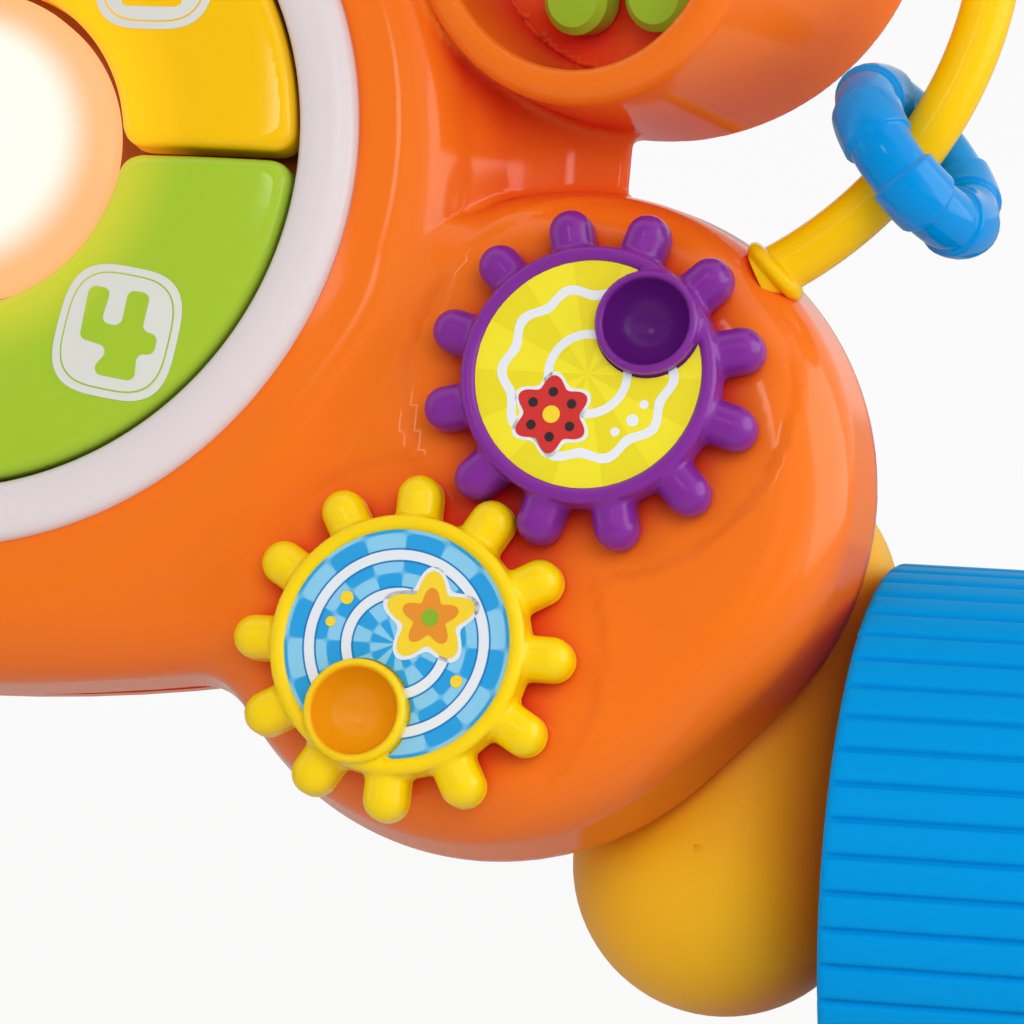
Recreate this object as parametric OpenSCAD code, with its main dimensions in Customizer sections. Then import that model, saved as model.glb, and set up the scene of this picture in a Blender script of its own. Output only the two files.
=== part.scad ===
// Baby push walker: a leaning toy panel on a low four-wheeled frame with a push handle.
// Millimetres. The floor is z = 0, +z is up, the front faces -y and the wheelbase is centred on y = 0.

/* [Overall layout] */
// Distance between the front and the rear axle
wheelbase = 250; // [220:1:300]
// Backward lean of the toy panel in degrees
panel_lean = 22; // [15:0.5:28]
// Height of the dial centre above the floor
dial_height = 204.7; // [195:0.1:215]
// How far the foot of the leg stands behind the front axle
foot_back = 2.41; // [0:0.01:4]

/* [Panel shell] */
// Wall thickness of the moulded shells
wall = 3; // [2:0.1:4]
// Depth of the front shell behind the panel face
shell_depth = 32; // [29:0.5:38]
// Radius of the round middle of the panel
body_r = 98; // [92:0.5:104]
// Rounding of the edge of the round middle
body_edge = 9; // [6:0.5:12]
// Sideways place of each lower lobe
lobe_x = 118; // [113:0.5:122]
// Drop of each lower lobe below the dial centre
lobe_low = 65.7; // [60:0.1:70]
// Radius of the lobe ends
lobe_r = 59; // [56:0.5:62]
// Half of the straight part of a lobe
lobe_stretch = 9; // [5:0.5:12]
// Turn of the long way of a lobe
lobe_turn = 47; // [40:1:60]
// Rounding of the lobe edge
lobe_edge = 12; // [8:0.5:15]
// How far the lobe face lies below the panel face
lobe_drop = 4; // [3:0.1:5]
// Half width of the neck behind the middle
neck_half = 127.5; // [124:0.5:134]
// How far the neck face lies below the panel face
neck_drop = 22; // [19:0.5:24]
// Top of the neck above the dial centre
neck_top = 60; // [50:1:66]
// Half width of the lower bridge between the lobes
bridge_half = 80; // [72:1:88]
// Bottom of the bridge below the dial centre
bridge_low = 105; // [101:0.5:109]
// Radius of the bowed lower edge of the bridge
bridge_arc = 345; // [300:5:400]
// How far the bridge face lies below the panel face
bridge_drop = 7; // [5:0.5:10]
// Small step between the stacked forms of the shell
step = 0.4; // [0.3:0.05:0.8]
// Radius of the bulge of the rear shell
bulge_r = 82; // [79:0.5:83]
// Depth of the rear bulge behind the parting plane
bulge_depth = 40; // [38:0.5:44]
// Rounding of the rear bulge
bulge_edge = 10; // [6:0.5:12]

/* [Upper cups] */
// Sideways place of the foot of each upper cup
cup_x = 134.6; // [130:0.2:138]
// Height of the cup foot above the dial centre
cup_high = 57.4; // [52:0.2:62]
// Radius of the cup foot
cup_foot_r = 45; // [42:0.5:48]
// Radius of the cup mouth
cup_mouth_r = 30.4; // [28:0.2:32]
// Length of the cup along its axis
cup_long = 45; // [41:0.5:49]
// Roundness of the cup lip
cup_lip = 3.6; // [3:0.1:4.5]
// Inward turn of the cup axis
cup_inward = 15.2; // [8:0.2:20]
// Downward turn of the cup axis
cup_downward = 12.3; // [6:0.1:16]
// Depth of the hollow in front of the cup
cup_sink = 23; // [21:0.5:24.5]
// Floor thickness of the cup
cup_floor = 6; // [5:0.5:8]

/* [Dial and keys] */
// Outer radius of the white bezel
bezel_r = 81.3; // [79:0.1:84]
// Inner radius of the white bezel
bezel_hole_r = 69.4; // [67:0.1:71]
// Height of the bezel above the panel face
bezel_high = 4; // [3:0.1:5]
// Thickness of the collar under the bezel
bezel_collar = 3; // [2:0.1:4]
// Radius of the light dome
dome_r = 31.5; // [29:0.1:33]
// Rise of the dome crown above its edge
dome_rise = 10; // [7:0.1:12]
// Height of the key tops above the panel face
key_top = 3; // [2:0.1:4]
// Gap between neighbouring keys
key_gap = 1.8; // [1.2:0.1:2.4]
// Running gap at the inner and outer rim of the keys
key_play = 0.9; // [0.5:0.1:1.4]
// Rounding of the key edges
key_edge = 2.4; // [1.5:0.1:2.8]
// Travel of each key
key_travel = 2.5; // [1.5:0.1:3]
// Radius of the guide pin of each key
key_pin_r = 3; // [2.5:0.1:3.5]
// Clearance of the guide pin in its sleeve
key_pin_play = 0.3; // [0.2:0.05:0.5]
// Depth of the key bed floor behind the panel face
bed_depth = 13; // [12.5:0.1:15]

/* [Gears] */
// Place of the upper gear to the side of the dial centre
gear_x = 132.6; // [131:0.1:134]
// Place of the upper gear below the dial centre
gear_low = 41.2; // [40:0.1:42.5]
// Distance between the two gear centres
gear_apart = 63.4; // [63.2:0.05:63.8]
// Direction from the lower gear to the upper gear in degrees
gear_line = 59; // [56:0.5:62]
// Teeth on each gear
gear_teeth = 12; // [12:1:12]
// Radius of the gear rim
gear_rim_r = 25.2; // [24.6:0.1:25.6]
// Radius of the tooth tips
gear_tip_r = 33.8; // [33.4:0.05:33.9]
// Radius of each round tooth
gear_tooth_r = 4.3; // [4:0.05:4.4]
// Thickness of the gear
gear_thick = 9; // [8:0.1:10]
// Gap between the gear and the lobe face
gear_lift = 0.5; // [0.3:0.05:0.8]
// Radius of the label pocket
label_r = 22.6; // [22:0.1:23]
// Thickness of the label
label_thick = 0.3; // [0.2:0.05:0.5]
// Distance of the finger cup from the gear centre
finger_out = 15.1; // [14:0.1:15.6]
// Outer radius of the finger cup
finger_r = 10.2; // [9.6:0.1:10.6]
// Height of the finger cup above the gear
finger_high = 3; // [2:0.1:4]
// Radius of the gear shaft
shaft_r = 5; // [4.5:0.1:5.5]
// Running clearance of shafts and axles
run_play = 0.06; // [0.03:0.01:0.09]
// Length of the bearing behind the lobe face
bearing_long = 12; // [10:0.5:13]

/* [Arches and rings] */
// Sideways place of the arch centre
arch_x = 123; // [121:0.2:125]
// Height of the arch centre above the dial centre
arch_high = 52; // [50:0.2:54]
// Radius of the arch
arch_r = 78.6; // [77:0.2:80]
// Radius of the arch tube
tube_r = 5.15; // [4.8:0.05:5.4]
// Depth of the arch behind the panel face
arch_depth = 14; // [13:0.2:15]
// Start of the arch inside the lobe in degrees
arch_from = -66; // [-68:0.5:-65]
// End of the arch inside the round middle in degrees
arch_to = 158; // [157.5:0.5:160]
// Place of the lower collar in degrees
collar_low = -58; // [-59:0.5:-57]
// Place of the upper collar in degrees
collar_high = 152; // [151:0.5:152.5]
// Extra radius of the collars
collar_lip = 1.1; // [0.8:0.1:1.6]
// Middle radius of the ring
ring_r = 15; // [14.6:0.1:16]
// Thickness radius of the ring
ring_t = 6.15; // [5.8:0.05:6.4]
// Rise of the thick ring segments
ring_step = 0.85; // [0.4:0.05:1]
// Thick segments on the ring
ring_segments = 6; // [5:1:8]
// Gap between the hanging ring and the tube
ring_play = 0.3; // [0.2:0.05:0.5]
// Rest place of the ring on the arch in degrees
ring_rest = -33.5; // [-34:0.1:-28]
// Tilt of the hanging ring out of the cross plane of the tube
ring_tilt = 15.5; // [0:0.5:18]
// Swing of the hanging ring toward the wheel
ring_swing = 19.6; // [0:0.1:20]
// Turn of the first thick segment on the ring
ring_turn = 42; // [0:0.5:60]

/* [Other toys] */
// Radius of the spinner in the right cup
spin_r = 25; // [22:0.2:27]
// Thickness of the spinner
spin_thick = 9; // [7:0.5:12]
// Paddles on the spinner
spin_paddles = 6; // [4:1:8]
// Gap between the spinner and the cup floor
spin_gap = 1; // [0.6:0.1:1.5]
// Radius of the spinner shaft
spin_shaft_r = 4; // [3.5:0.1:5]
// Radius of the small steel axle
pin_r = 2.5; // [2:0.1:3]
// Radius of the roller in the left lobe
roller_r = 18.5; // [17:0.1:19]
// Length of the roller
roller_long = 62; // [56:0.5:66]
// Depth of the roller axis behind the panel face
roller_depth = 10.5; // [9.5:0.1:11]
// Play around the roller
roller_play = 1.5; // [1:0.1:2]
// Wall of the roller tray
tray_wall = 2; // [1.5:0.1:2.5]
// Radius of the mirror in the left cup
mirror_r = 25; // [23:0.2:26]
// Height of the mirror rim above the cup floor
mirror_high = 14; // [10:0.5:18]
// Thickness of the mirror
mirror_thick = 2; // [1.5:0.1:3]

/* [Wheels and axles] */
// Outer radius of every wheel
wheel_r = 63; // [60:0.5:66]
// Width of every wheel
wheel_wide = 42; // [38:0.5:46]
// Gap between the front legs and the wheels
wheel_gap = 1.6; // [1.2:0.1:4]
// Grooves around the tread
tread_count = 56; // [48:1:72]
// Radius of the tread grooves
tread_groove = 1.1; // [0.8:0.1:1.4]
// Thickness of the wheel drum
drum_wall = 6; // [5:0.5:7]
// Thickness of the wheel webs
web_thick = 5; // [4:0.5:6]
// Depth of the outer web behind the outer wheel face
web_sink = 11; // [9:0.5:13]
// Radius of the wheel hub
hub_r = 14; // [12:0.5:16]
// Radius of the wheel axles
axle_r = 4; // [3.5:0.1:4.5]
// Radius of the hub cap
cap_r = 27; // [24:0.5:30]
// How far the hub cap stands out of the wheel
cap_proud = 2; // [1:0.1:3]

/* [Side frames] */
// Radius of the front legs
leg_r = 30.4; // [29:0.1:31]
// Sideways place of the legs and rails
leg_x = 152.6; // [150:0.1:154]
// Height of the foot of the leg
leg_foot = 63.7; // [60:0.1:68]
// Drop of the head of the leg below the dial centre
leg_drop = 92.5; // [88:0.5:96]
// Radius of the side rails
rail_r = 7.5; // [7:0.1:8]
// Radius of the rear feet
rear_r = 8; // [8:0.1:10]
// Gap between the rear feet and the wheels
foot_gap = 3; // [1.5:0.1:4]
// Depth of the axles inside the frames
axle_in = 34; // [30:1:37]
// Radius of the cross brace
brace_r = 9; // [8:0.2:10]
// Drop of the cross brace below the dial centre
brace_drop = 102.5; // [100:0.5:105]
// Gap between the cross brace and the rear shell
brace_gap = 3.5; // [2:0.1:4.5]
// Depth of the brace inside the legs
brace_in = 14; // [10:0.5:20]
// Gap between the legs and the rear shell
leg_gap = 0.5; // [0.3:0.1:1]
// Radius of the mounting boss on the leg
boss_r = 16; // [13:0.5:18]
// Fixed fit of parts pressed together
fit = 0.05; // [0.02:0.01:0.09]

/* [Handle] */
// Half distance between the handle arms
arm_x = 100; // [99.5:0.2:102]
// Radius of the handle tube
arm_r = 10.5; // [9.5:0.1:11]
// Height of the handle bar above the floor
handle_high = 462; // [450:1:480]
// Bend radius of the handle corners
bend_r = 32; // [26:0.5:40]
// Length of the handle sockets
socket_long = 86; // [76:1:92]
// Wall of the handle sockets
socket_wall = 5; // [4:0.1:5.5]
// Standoff of the handle arms behind the rear shell
arm_gap = 6; // [5.5:0.1:7]
// Distance of the side screws of the case from the sockets
screw_clear = 6.5; // [5:0.5:9]
// Thickness of the soft grip
grip_thick = 4; // [3:0.1:6]

/* [Power and sound] */
// Radius of a battery cell
cell_r = 7.1; // [6.8:0.05:7.2]
// Length of a battery cell
cell_long = 50.5; // [48:0.1:52]
// Radius of the speaker
speaker_r = 24; // [20:0.5:25]
// Height of the speaker above the dial centre
speaker_high = 45; // [44:0.5:50]
// Thickness of the circuit boards
board_thick = 1.6; // [1.2:0.1:2]
// Width of the main circuit board
board_wide = 108; // [104:1:110]
// Height of the main circuit board
board_tall = 68; // [66:1:70]
// Travel of the power switch
switch_travel = 6; // [4:0.5:7]
// Width of the knob of the power switch
switch_wide = 8; // [7:0.5:9]
// Height of the knob of the power switch
switch_tall = 6; // [5:0.5:7]
// Running gap around the knob of the power switch
switch_play = 0.3; // [0.3:0.05:0.5]
// Radius of the case screws
screw_r = 1.5; // [1.3:0.05:1.8]
// Radius of the leg screws
bolt_r = 2.5; // [2:0.1:3]

/* [Hidden] */
$fn = 96;
front_y = -wheelbase / 2;
rear_y = wheelbase / 2;
axle_z = wheel_r;
plate_back = -shell_depth - wall;
bulge_back = -shell_depth - bulge_depth;
bulge_in = bulge_back + wall;
gear_2_x = gear_x - gear_apart * cos(gear_line);
gear_2_y = -gear_low - gear_apart * sin(gear_line);
gear_back = -lobe_drop + gear_lift;
gear_face = gear_back + gear_thick;
bearing_end = -lobe_drop - bearing_long;
washer_top = bearing_end - gear_lift;
key_in_r = dome_r + key_play + 0.8;
key_out_r = bezel_hole_r - key_play;
key_mid_r = (key_in_r + key_out_r) / 2;
key_lip_z = -wall - 0.3;
key_base = key_lip_z - 2.2;
bed_top = -bed_depth + 3;
sleeve_end = bed_top + key_travel + 0.4;
spring_top = key_base - key_travel - 0.3;
ring_out = ring_r - (ring_t + ring_step + tube_r + ring_play) / cos(ring_swing) / cos(ring_tilt);
mouth_z = cup_long - cup_lip;
cup_bed = cup_long - cup_sink;
spin_back = cup_bed + spin_gap;
leg_depth = plate_back - leg_gap - leg_r;
leg_low_y = (leg_foot - dial_height - leg_depth * sin(panel_lean)) / cos(panel_lean);
leg_high_y = (-leg_drop - leg_depth * sin(panel_lean)) / cos(panel_lean);
dial_y = front_y + foot_back - leg_low_y * sin(panel_lean) + leg_depth * cos(panel_lean);
boss_y = leg_high_y - 7;
bolt_head_z = leg_depth - leg_r * 0.7;
brace_z = bulge_back - brace_gap - brace_r;
brace_local_y = (-brace_drop - brace_z * sin(panel_lean)) / cos(panel_lean);
arm_z = plate_back - socket_wall - arm_gap - arm_r;
arm_top = (handle_high - dial_height - arm_z * sin(panel_lean)) / cos(panel_lean);
socket_half = arm_r + socket_wall;
socket_top = socket_long * 0.56;
socket_floor = socket_top - socket_long + 6;
cell_pitch = 2 * cell_r + 0.5;
tray_x = cell_long / 2 + 2.5;
tray_y = cell_pitch * 1.5 + 0.4;
tray_mid = -37;
tray_deep = 2 * cell_r + 5;
tab_y = tray_mid + tray_y + 5.5;
switch_y = 9;
slot_wide = switch_travel + switch_wide + 2 * switch_play;
slot_tall = switch_tall + 2 * switch_play;
slide_wide = switch_travel + switch_wide + 8;
slide_tall = switch_tall + 5;
board_z = bulge_in + tray_deep + 6;
wheel_inner = leg_x + leg_r + wheel_gap;
web_z = wheel_wide - web_sink - web_thick;
axle_end = web_z + web_thick + 3;

// Screw places on a lobe, in lobe coordinates
lobe_screws = [
  [lobe_stretch + lobe_r * 0.62, -lobe_r * 0.41],
  [-lobe_stretch - lobe_r * 0.74, -lobe_r * 0.32]
];

// Place of the screw at the top of a lobe, beside the handle socket
side_screw = [arm_x + socket_half + screw_clear, lobe_r - lobe_low - 5.3];

// Corner places of the circuit board posts
post_x = board_wide / 2 - 6;
post_y = board_tall / 2 - 6;
board_posts = [[post_x, post_y], [-post_x, post_y], [post_x, -post_y], [-post_x, -post_y]];

// Helpers

// Panel coordinates: x right, y up the panel, z out of the panel, origin at the dial centre
module on_panel() {
  translate([0, dial_y, dial_height]) rotate([90 - panel_lean, 0, 0]) children();
}

// Frame of the right upper cup, z along the cup axis from the foot
module on_cup() {
  translate([cup_x, cup_high, 2 - shell_depth]) rotate([cup_downward, -cup_inward, 0]) children();
}

// Frame of the right lobe, x along its long way, origin at the lobe middle
module on_lobe() {
  translate([lobe_x, -lobe_low, 0]) rotate([0, 0, lobe_turn]) children();
}

// The same thing on the right and on the left
module both_sides() {
  children();
  mirror([1, 0, 0]) children();
}

// Round slab with a rounded front edge
module puck(r, edge, low, high) {
  translate([0, 0, low]) cylinder(r = r, h = high - low - edge);
  translate([0, 0, low]) cylinder(r = r - edge, h = high - low);
  translate([0, 0, high - edge]) rotate_extrude() translate([r - edge, 0]) circle(edge);
}

// Long slab with round ends and a rounded front edge
module oval(r, stretch, edge, low, high) {
  for (s = [-1, 1]) translate([s * stretch, 0, 0]) puck(r, edge, low, high);
  translate([-stretch, -r, low]) cube([2 * stretch, 2 * r, high - low - edge]);
  translate([-stretch, edge - r, low]) cube([2 * stretch, 2 * (r - edge), high - low]);
  for (s = [-1, 1]) translate([-stretch, s * (r - edge), high - edge]) {
    rotate([0, 90, 0]) cylinder(r = edge, h = 2 * stretch);
  }
}

// Outline of the right lobe, drawn smaller by i
module lobe_outline(i) {
  translate([lobe_x, -lobe_low]) rotate(lobe_turn) {
    for (s = [-1, 1]) translate([s * lobe_stretch, 0]) circle(r = lobe_r - i);
    translate([-lobe_stretch, i - lobe_r]) square([2 * lobe_stretch, 2 * (lobe_r - i)]);
  }
}

// Outline of the lower bridge, drawn smaller by i
module bridge_outline(i) {
  intersection() {
    translate([-bridge_half, i - bridge_low]) square([2 * bridge_half, bridge_low - 30]);
    translate([0, bridge_arc - bridge_low]) circle(r = bridge_arc - i);
  }
}

// Outline of the whole panel, drawn smaller by i
module panel_outline(i) {
  circle(r = body_r - i);
  lobe_outline(i);
  mirror([1, 0]) lobe_outline(i);
  translate([i - neck_half, -43]) square([2 * (neck_half - i), 43 + neck_top - i]);
  bridge_outline(i);
}

// Whole front form, drawn smaller by i for the hollow
module shell_form(i, low) {
  translate([0, 0, low]) linear_extrude(-neck_drop - i - low) panel_outline(i);
  translate([0, 0, low]) linear_extrude(-bridge_drop - i - low) bridge_outline(i + step);
  puck(body_r - i - step, body_edge - i, low, -i);
  both_sides() on_lobe() oval(lobe_r - i - step, lobe_stretch, lobe_edge - i, low, -lobe_drop - i);
}

// Outer form of an upper cup
module cup_form() {
  cylinder(r1 = cup_foot_r, r2 = cup_mouth_r + 2 * cup_lip, h = mouth_z);
  translate([0, 0, mouth_z]) rotate_extrude() translate([cup_mouth_r + cup_lip, 0]) circle(cup_lip);
}

// Piece of the arch tube or of a collar
module arch_piece(r, from, to) {
  translate([arch_x, arch_high, -arch_depth]) rotate([0, 0, from]) rotate_extrude(angle = to - from) {
    translate([arch_r, 0]) circle(r);
  }
}

// Place of a gear, 0 for the upper and 1 for the lower
module at_gear(k) {
  translate(k == 0 ? [gear_x, -gear_low, 0] : [gear_2_x, gear_2_y, 0]) children();
}

// Box around the roller in lobe coordinates
module roller_box(grow, low, high) {
  x = roller_long / 2 + roller_play + grow;
  y = roller_r + roller_play + grow;
  translate([-x, -y, low]) cube([2 * x, 2 * y, high - low]);
}

// Frame of a right wheel, z outward along the axle from the inner wheel face
module at_wheel(y) {
  translate([wheel_inner, y, axle_z]) rotate([0, 90, 0]) children();
}

// Cylinder lying along x
module rod_x(r, from, to) {
  translate([from, 0, 0]) rotate([0, 90, 0]) cylinder(r = r, h = to - from);
}

// Battery door outline with its screw tab, drawn larger by g
module door_form(g, low, high) {
  x = tray_x + 2.2 + g;
  y = tray_y + 2.2 + g;
  translate([-x, tray_mid - y, low]) cube([2 * x, 2 * y, high - low]);
  translate([0, tab_y, low]) cylinder(r = 6 + g, h = high - low);
}

// Panel pieces

module front_shell() {
  color("DarkOrange") on_panel() difference() {
    union() {
      difference() {
        union() {
          shell_form(0, -shell_depth);
          both_sides() on_cup() cup_form();
        }
        shell_form(wall, -shell_depth - 1);
        translate([-300, -300, -shell_depth - 80]) cube([600, 600, 80]);
        both_sides() on_cup() translate([0, 0, -30]) {
          cylinder(r = cup_mouth_r + 4, h = 30 + cup_bed - cup_floor);
        }
        translate([0, 0, -wall - 1]) cylinder(r = bezel_hole_r + 3 + fit, h = wall + 2);
      }
      for (k = [0, 1]) at_gear(k) translate([0, 0, bearing_end]) {
        cylinder(r = shaft_r + 4, h = bearing_long - 1);
      }
      both_sides() {
        on_lobe() for (p = lobe_screws) translate([p[0], p[1], -shell_depth]) {
          cylinder(r = screw_r + 2.5, h = shell_depth - lobe_drop - wall + 0.5);
        }
        translate([side_screw[0], side_screw[1], -shell_depth]) {
          cylinder(r = screw_r + 2.5, h = shell_depth - lobe_drop - wall + 0.5);
        }
      }
    }
    both_sides() on_cup() translate([0, 0, cup_bed]) cylinder(r = cup_mouth_r, h = cup_sink + 5);
    on_cup() translate([0, 0, cup_bed - cup_floor - 1]) {
      cylinder(r = spin_shaft_r + run_play, h = cup_floor + 2);
    }
    for (k = [0, 1]) at_gear(k) translate([0, 0, bearing_end - 1]) {
      cylinder(r = shaft_r + run_play, h = bearing_long + 5);
    }
    mirror([1, 0, 0]) on_lobe() roller_box(0, -lobe_drop - wall - 1, 1);
    both_sides() {
      arch_piece(tube_r + fit, arch_from - 2, arch_to + 2);
      on_lobe() for (p = lobe_screws) translate([p[0], p[1], -shell_depth - 1]) {
        cylinder(r = screw_r + fit, h = 10);
      }
      translate([side_screw[0], side_screw[1], -shell_depth - 1]) cylinder(r = screw_r + fit, h = 10);
    }
  }
}

module back_shell() {
  color("OrangeRed") on_panel() difference() {
    union() {
      rotate([180, 0, 0]) puck(bulge_r, bulge_edge, shell_depth, -bulge_back);
      translate([0, 0, plate_back]) linear_extrude(wall) panel_outline(0);
      both_sides() translate([leg_x, boss_y, plate_back]) cylinder(r = bolt_r + 4, h = wall + 9);
    }
    difference() {
      rotate([180, 0, 0]) puck(bulge_r - wall, bulge_edge - wall, shell_depth - 2, -bulge_in);
      for (p = board_posts) translate([p[0], p[1], bulge_in - 1]) {
        cylinder(r = 4, h = board_z - bulge_in + 1);
      }
    }
    door_form(0.3, bulge_back - 1, bulge_in + 1);
    translate([-slot_wide / 2, switch_y - slot_tall / 2, bulge_back - 1]) {
      cube([slot_wide, slot_tall, wall + 2]);
    }
    for (a = [0 : 60 : 300], r = [speaker_r / 3, speaker_r * 2 / 3]) {
      translate([r * cos(a + r), speaker_high + r * sin(a + r), bulge_back - 1]) {
        cylinder(r = 2, h = wall + 2);
      }
    }
    both_sides() {
      translate([leg_x, boss_y, plate_back - 1]) cylinder(r = bolt_r + fit, h = wall + 8);
      on_lobe() for (p = lobe_screws) translate([p[0], p[1], plate_back - 1]) {
        cylinder(r = screw_r + fit, h = wall + 2);
      }
      translate([side_screw[0], side_screw[1], plate_back - 1]) cylinder(r = screw_r + fit, h = wall + 2);
    }
  }
}

// One case screw at the origin with its head below the plate
module case_screw(long) {
  translate([0, 0, -2]) cylinder(r = 2 * screw_r, h = 2);
  cylinder(r = screw_r, h = long);
}

module shell_screws() {
  color("Silver") on_panel() both_sides() {
    on_lobe() for (p = lobe_screws) translate([p[0], p[1], plate_back]) case_screw(wall + 8);
    translate([side_screw[0], side_screw[1], plate_back]) case_screw(wall + 8);
  }
}

module dial_bezel() {
  color("White") on_panel() difference() {
    union() {
      puck(bezel_r, bezel_high / 2, 0, bezel_high);
      translate([0, 0, -wall]) cylinder(r = bezel_hole_r + 3, h = wall + 1);
    }
    translate([0, 0, -wall - 1]) cylinder(r = bezel_hole_r, h = wall + bezel_high + 2);
  }
}

// Cap of the light dome, drawn smaller by i
module dome_form(i) {
  ball = (dome_r * dome_r + dome_rise * dome_rise) / (2 * dome_rise);
  translate([0, 0, bed_top]) cylinder(r = dome_r - i, h = -bed_top);
  intersection() {
    translate([0, 0, dome_rise - ball]) sphere(r = ball - i, $fn = 128);
    translate([0, 0, -1]) cylinder(r = dome_r - i, h = dome_rise + 2);
  }
}

module light_dome() {
  color("Ivory") on_panel() difference() {
    dome_form(0);
    dome_form(2.5);
  }
}

module led_board() {
  color("DarkGreen") on_panel() {
    translate([0, 0, bed_top]) cylinder(r = dome_r - 6, h = board_thick);
    for (a = [0, 120, 240]) rotate([0, 0, a]) translate([9, 0, bed_top + board_thick - 0.2]) {
      cylinder(r = 2.5, h = 3);
      translate([0, 0, 3]) sphere(r = 2.5);
    }
  }
}

module key_bed() {
  color("DimGray") on_panel() {
    difference() {
      translate([0, 0, -bed_depth]) cylinder(r = bezel_hole_r + 7, h = bed_depth - wall);
      translate([0, 0, bed_top]) cylinder(r = bezel_hole_r + 4, h = bed_depth);
    }
    for (a = [45 : 90 : 315]) rotate([0, 0, a]) translate([key_mid_r, 0, bed_top - 0.5]) {
      cylinder(r = key_pin_r, h = key_base - bed_top + 0.8);
    }
  }
}

module key_springs() {
  color("Silver") on_panel() for (a = [45 : 90 : 315]) rotate([0, 0, a]) translate([key_mid_r, 0, bed_top]) {
    difference() {
      cylinder(r = key_pin_r + 4.2, h = spring_top - bed_top);
      translate([0, 0, -1]) cylinder(r = key_pin_r + 3.2, h = 20);
    }
  }
}

// Quarter key lying in the first quadrant
module key_form() {
  difference() {
    union() {
      intersection() {
        difference() {
          union() {
            puck(key_out_r, key_edge, key_base, key_top);
            translate([0, 0, key_base]) cylinder(r = bezel_hole_r + 2, h = key_lip_z - key_base);
          }
          translate([0, 0, key_base - 1]) cylinder(r = key_in_r, h = 30);
        }
        translate([key_gap / 2, key_gap / 2, -20]) cube([90, 90, 40]);
      }
      rotate([0, 0, 45]) translate([key_mid_r, 0, sleeve_end]) {
        cylinder(r = key_pin_r + 2.6, h = key_base - sleeve_end + 0.5);
      }
    }
    rotate([0, 0, 45]) translate([key_mid_r, 0, sleeve_end - 1]) {
      cylinder(r = key_pin_r + key_pin_play, h = key_base - sleeve_end + 1 + key_travel + 1);
    }
  }
}

module key_1() {
  color("MediumPurple") on_panel() rotate([0, 0, 90]) key_form();
}

module key_2() {
  color("Gold") on_panel() key_form();
}

module key_3() {
  color("DeepSkyBlue") on_panel() rotate([0, 0, 180]) key_form();
}

module key_4() {
  color("YellowGreen") on_panel() rotate([0, 0, 270]) key_form();
}

// Gears

// Gear with the first tooth at angle tooth and the finger cup at angle finger
module gear_form(tooth, finger) {
  difference() {
    union() {
      puck(gear_rim_r, 1.6, gear_back, gear_face);
      for (k = [0 : gear_teeth - 1]) rotate([0, 0, tooth + k * 360 / gear_teeth]) {
        translate([0, 0, gear_back + gear_thick / 2]) {
          rod_x(gear_tooth_r, gear_rim_r - 4, gear_tip_r - gear_tooth_r);
          translate([gear_tip_r - gear_tooth_r, 0, 0]) sphere(r = gear_tooth_r);
        }
      }
      translate([0, 0, washer_top]) cylinder(r = shaft_r, h = gear_back - washer_top + 1);
    }
    difference() {
      translate([0, 0, gear_face - 0.6]) cylinder(r = label_r, h = 5);
      rotate([0, 0, finger]) translate([finger_out, 0, 0]) cylinder(r = finger_r + 0.4, h = 30);
    }
    translate([0, 0, washer_top - 1]) cylinder(r = screw_r + fit, h = 9);
    finger_dish(finger);
  }
  rotate([0, 0, finger]) translate([finger_out, 0, 0]) difference() {
    puck(finger_r, 0.9, gear_face - 2, gear_face + finger_high);
    translate([0, 0, gear_face + finger_high + 3.4]) sphere(r = finger_r - 1);
  }
}

// Round hollow for a finger tip
module finger_dish(finger) {
  rotate([0, 0, finger]) translate([finger_out, 0, gear_face + finger_high + 3.4]) sphere(r = finger_r - 1);
}

module label_form(finger) {
  difference() {
    translate([0, 0, gear_face - 0.6]) cylinder(r = label_r - 0.2, h = label_thick);
    rotate([0, 0, finger]) translate([finger_out, 0, 0]) cylinder(r = finger_r + 0.6, h = 30);
  }
}

// Screw with a wide washer that holds a gear from behind
module gear_screw_form() {
  translate([0, 0, washer_top - 2]) cylinder(r = shaft_r + 3, h = 2);
  translate([0, 0, washer_top - 4]) cylinder(r = 3, h = 2);
  translate([0, 0, washer_top - 1]) cylinder(r = screw_r, h = 8);
}

module gear_upper() {
  color("Purple") on_panel() at_gear(0) gear_form(gear_line + 180 + 180 / gear_teeth, 43);
}

module gear_upper_label() {
  color("Yellow") on_panel() at_gear(0) label_form(43);
}

module gear_upper_screw() {
  color("Silver") on_panel() at_gear(0) gear_screw_form();
}

module gear_lower() {
  color("Gold") on_panel() at_gear(1) gear_form(gear_line, -115);
}

module gear_lower_label() {
  color("DeepSkyBlue") on_panel() at_gear(1) label_form(-115);
}

module gear_lower_screw() {
  color("Silver") on_panel() at_gear(1) gear_screw_form();
}

// Arches and rings

module arch_form() {
  arch_piece(tube_r, arch_from, arch_to);
  arch_piece(tube_r + collar_lip, collar_low - 1, collar_low + 1);
  arch_piece(tube_r + collar_lip, collar_high - 1, collar_high + 1);
}

module ring_form() {
  translate([arch_x, arch_high, -arch_depth]) rotate([0, 0, ring_rest]) translate([arch_r, 0, 0]) {
    rotate([0, 0, -ring_swing]) translate([ring_out, 0, 0]) rotate([90 + ring_tilt, 0, 0]) {
      rotate_extrude() translate([ring_r, 0]) circle(ring_t);
      for (k = [0 : ring_segments - 1]) rotate([0, 0, ring_turn + k * 360 / ring_segments]) {
        rotate_extrude(angle = 180 / ring_segments) translate([ring_r, 0]) circle(ring_t + ring_step);
      }
    }
  }
}

module arch_right() {
  color("Gold") on_panel() arch_form();
}

module arch_left() {
  color("Gold") mirror([1, 0, 0]) on_panel() arch_form();
}

module ring_right() {
  color("DodgerBlue") on_panel() ring_form();
}

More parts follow.
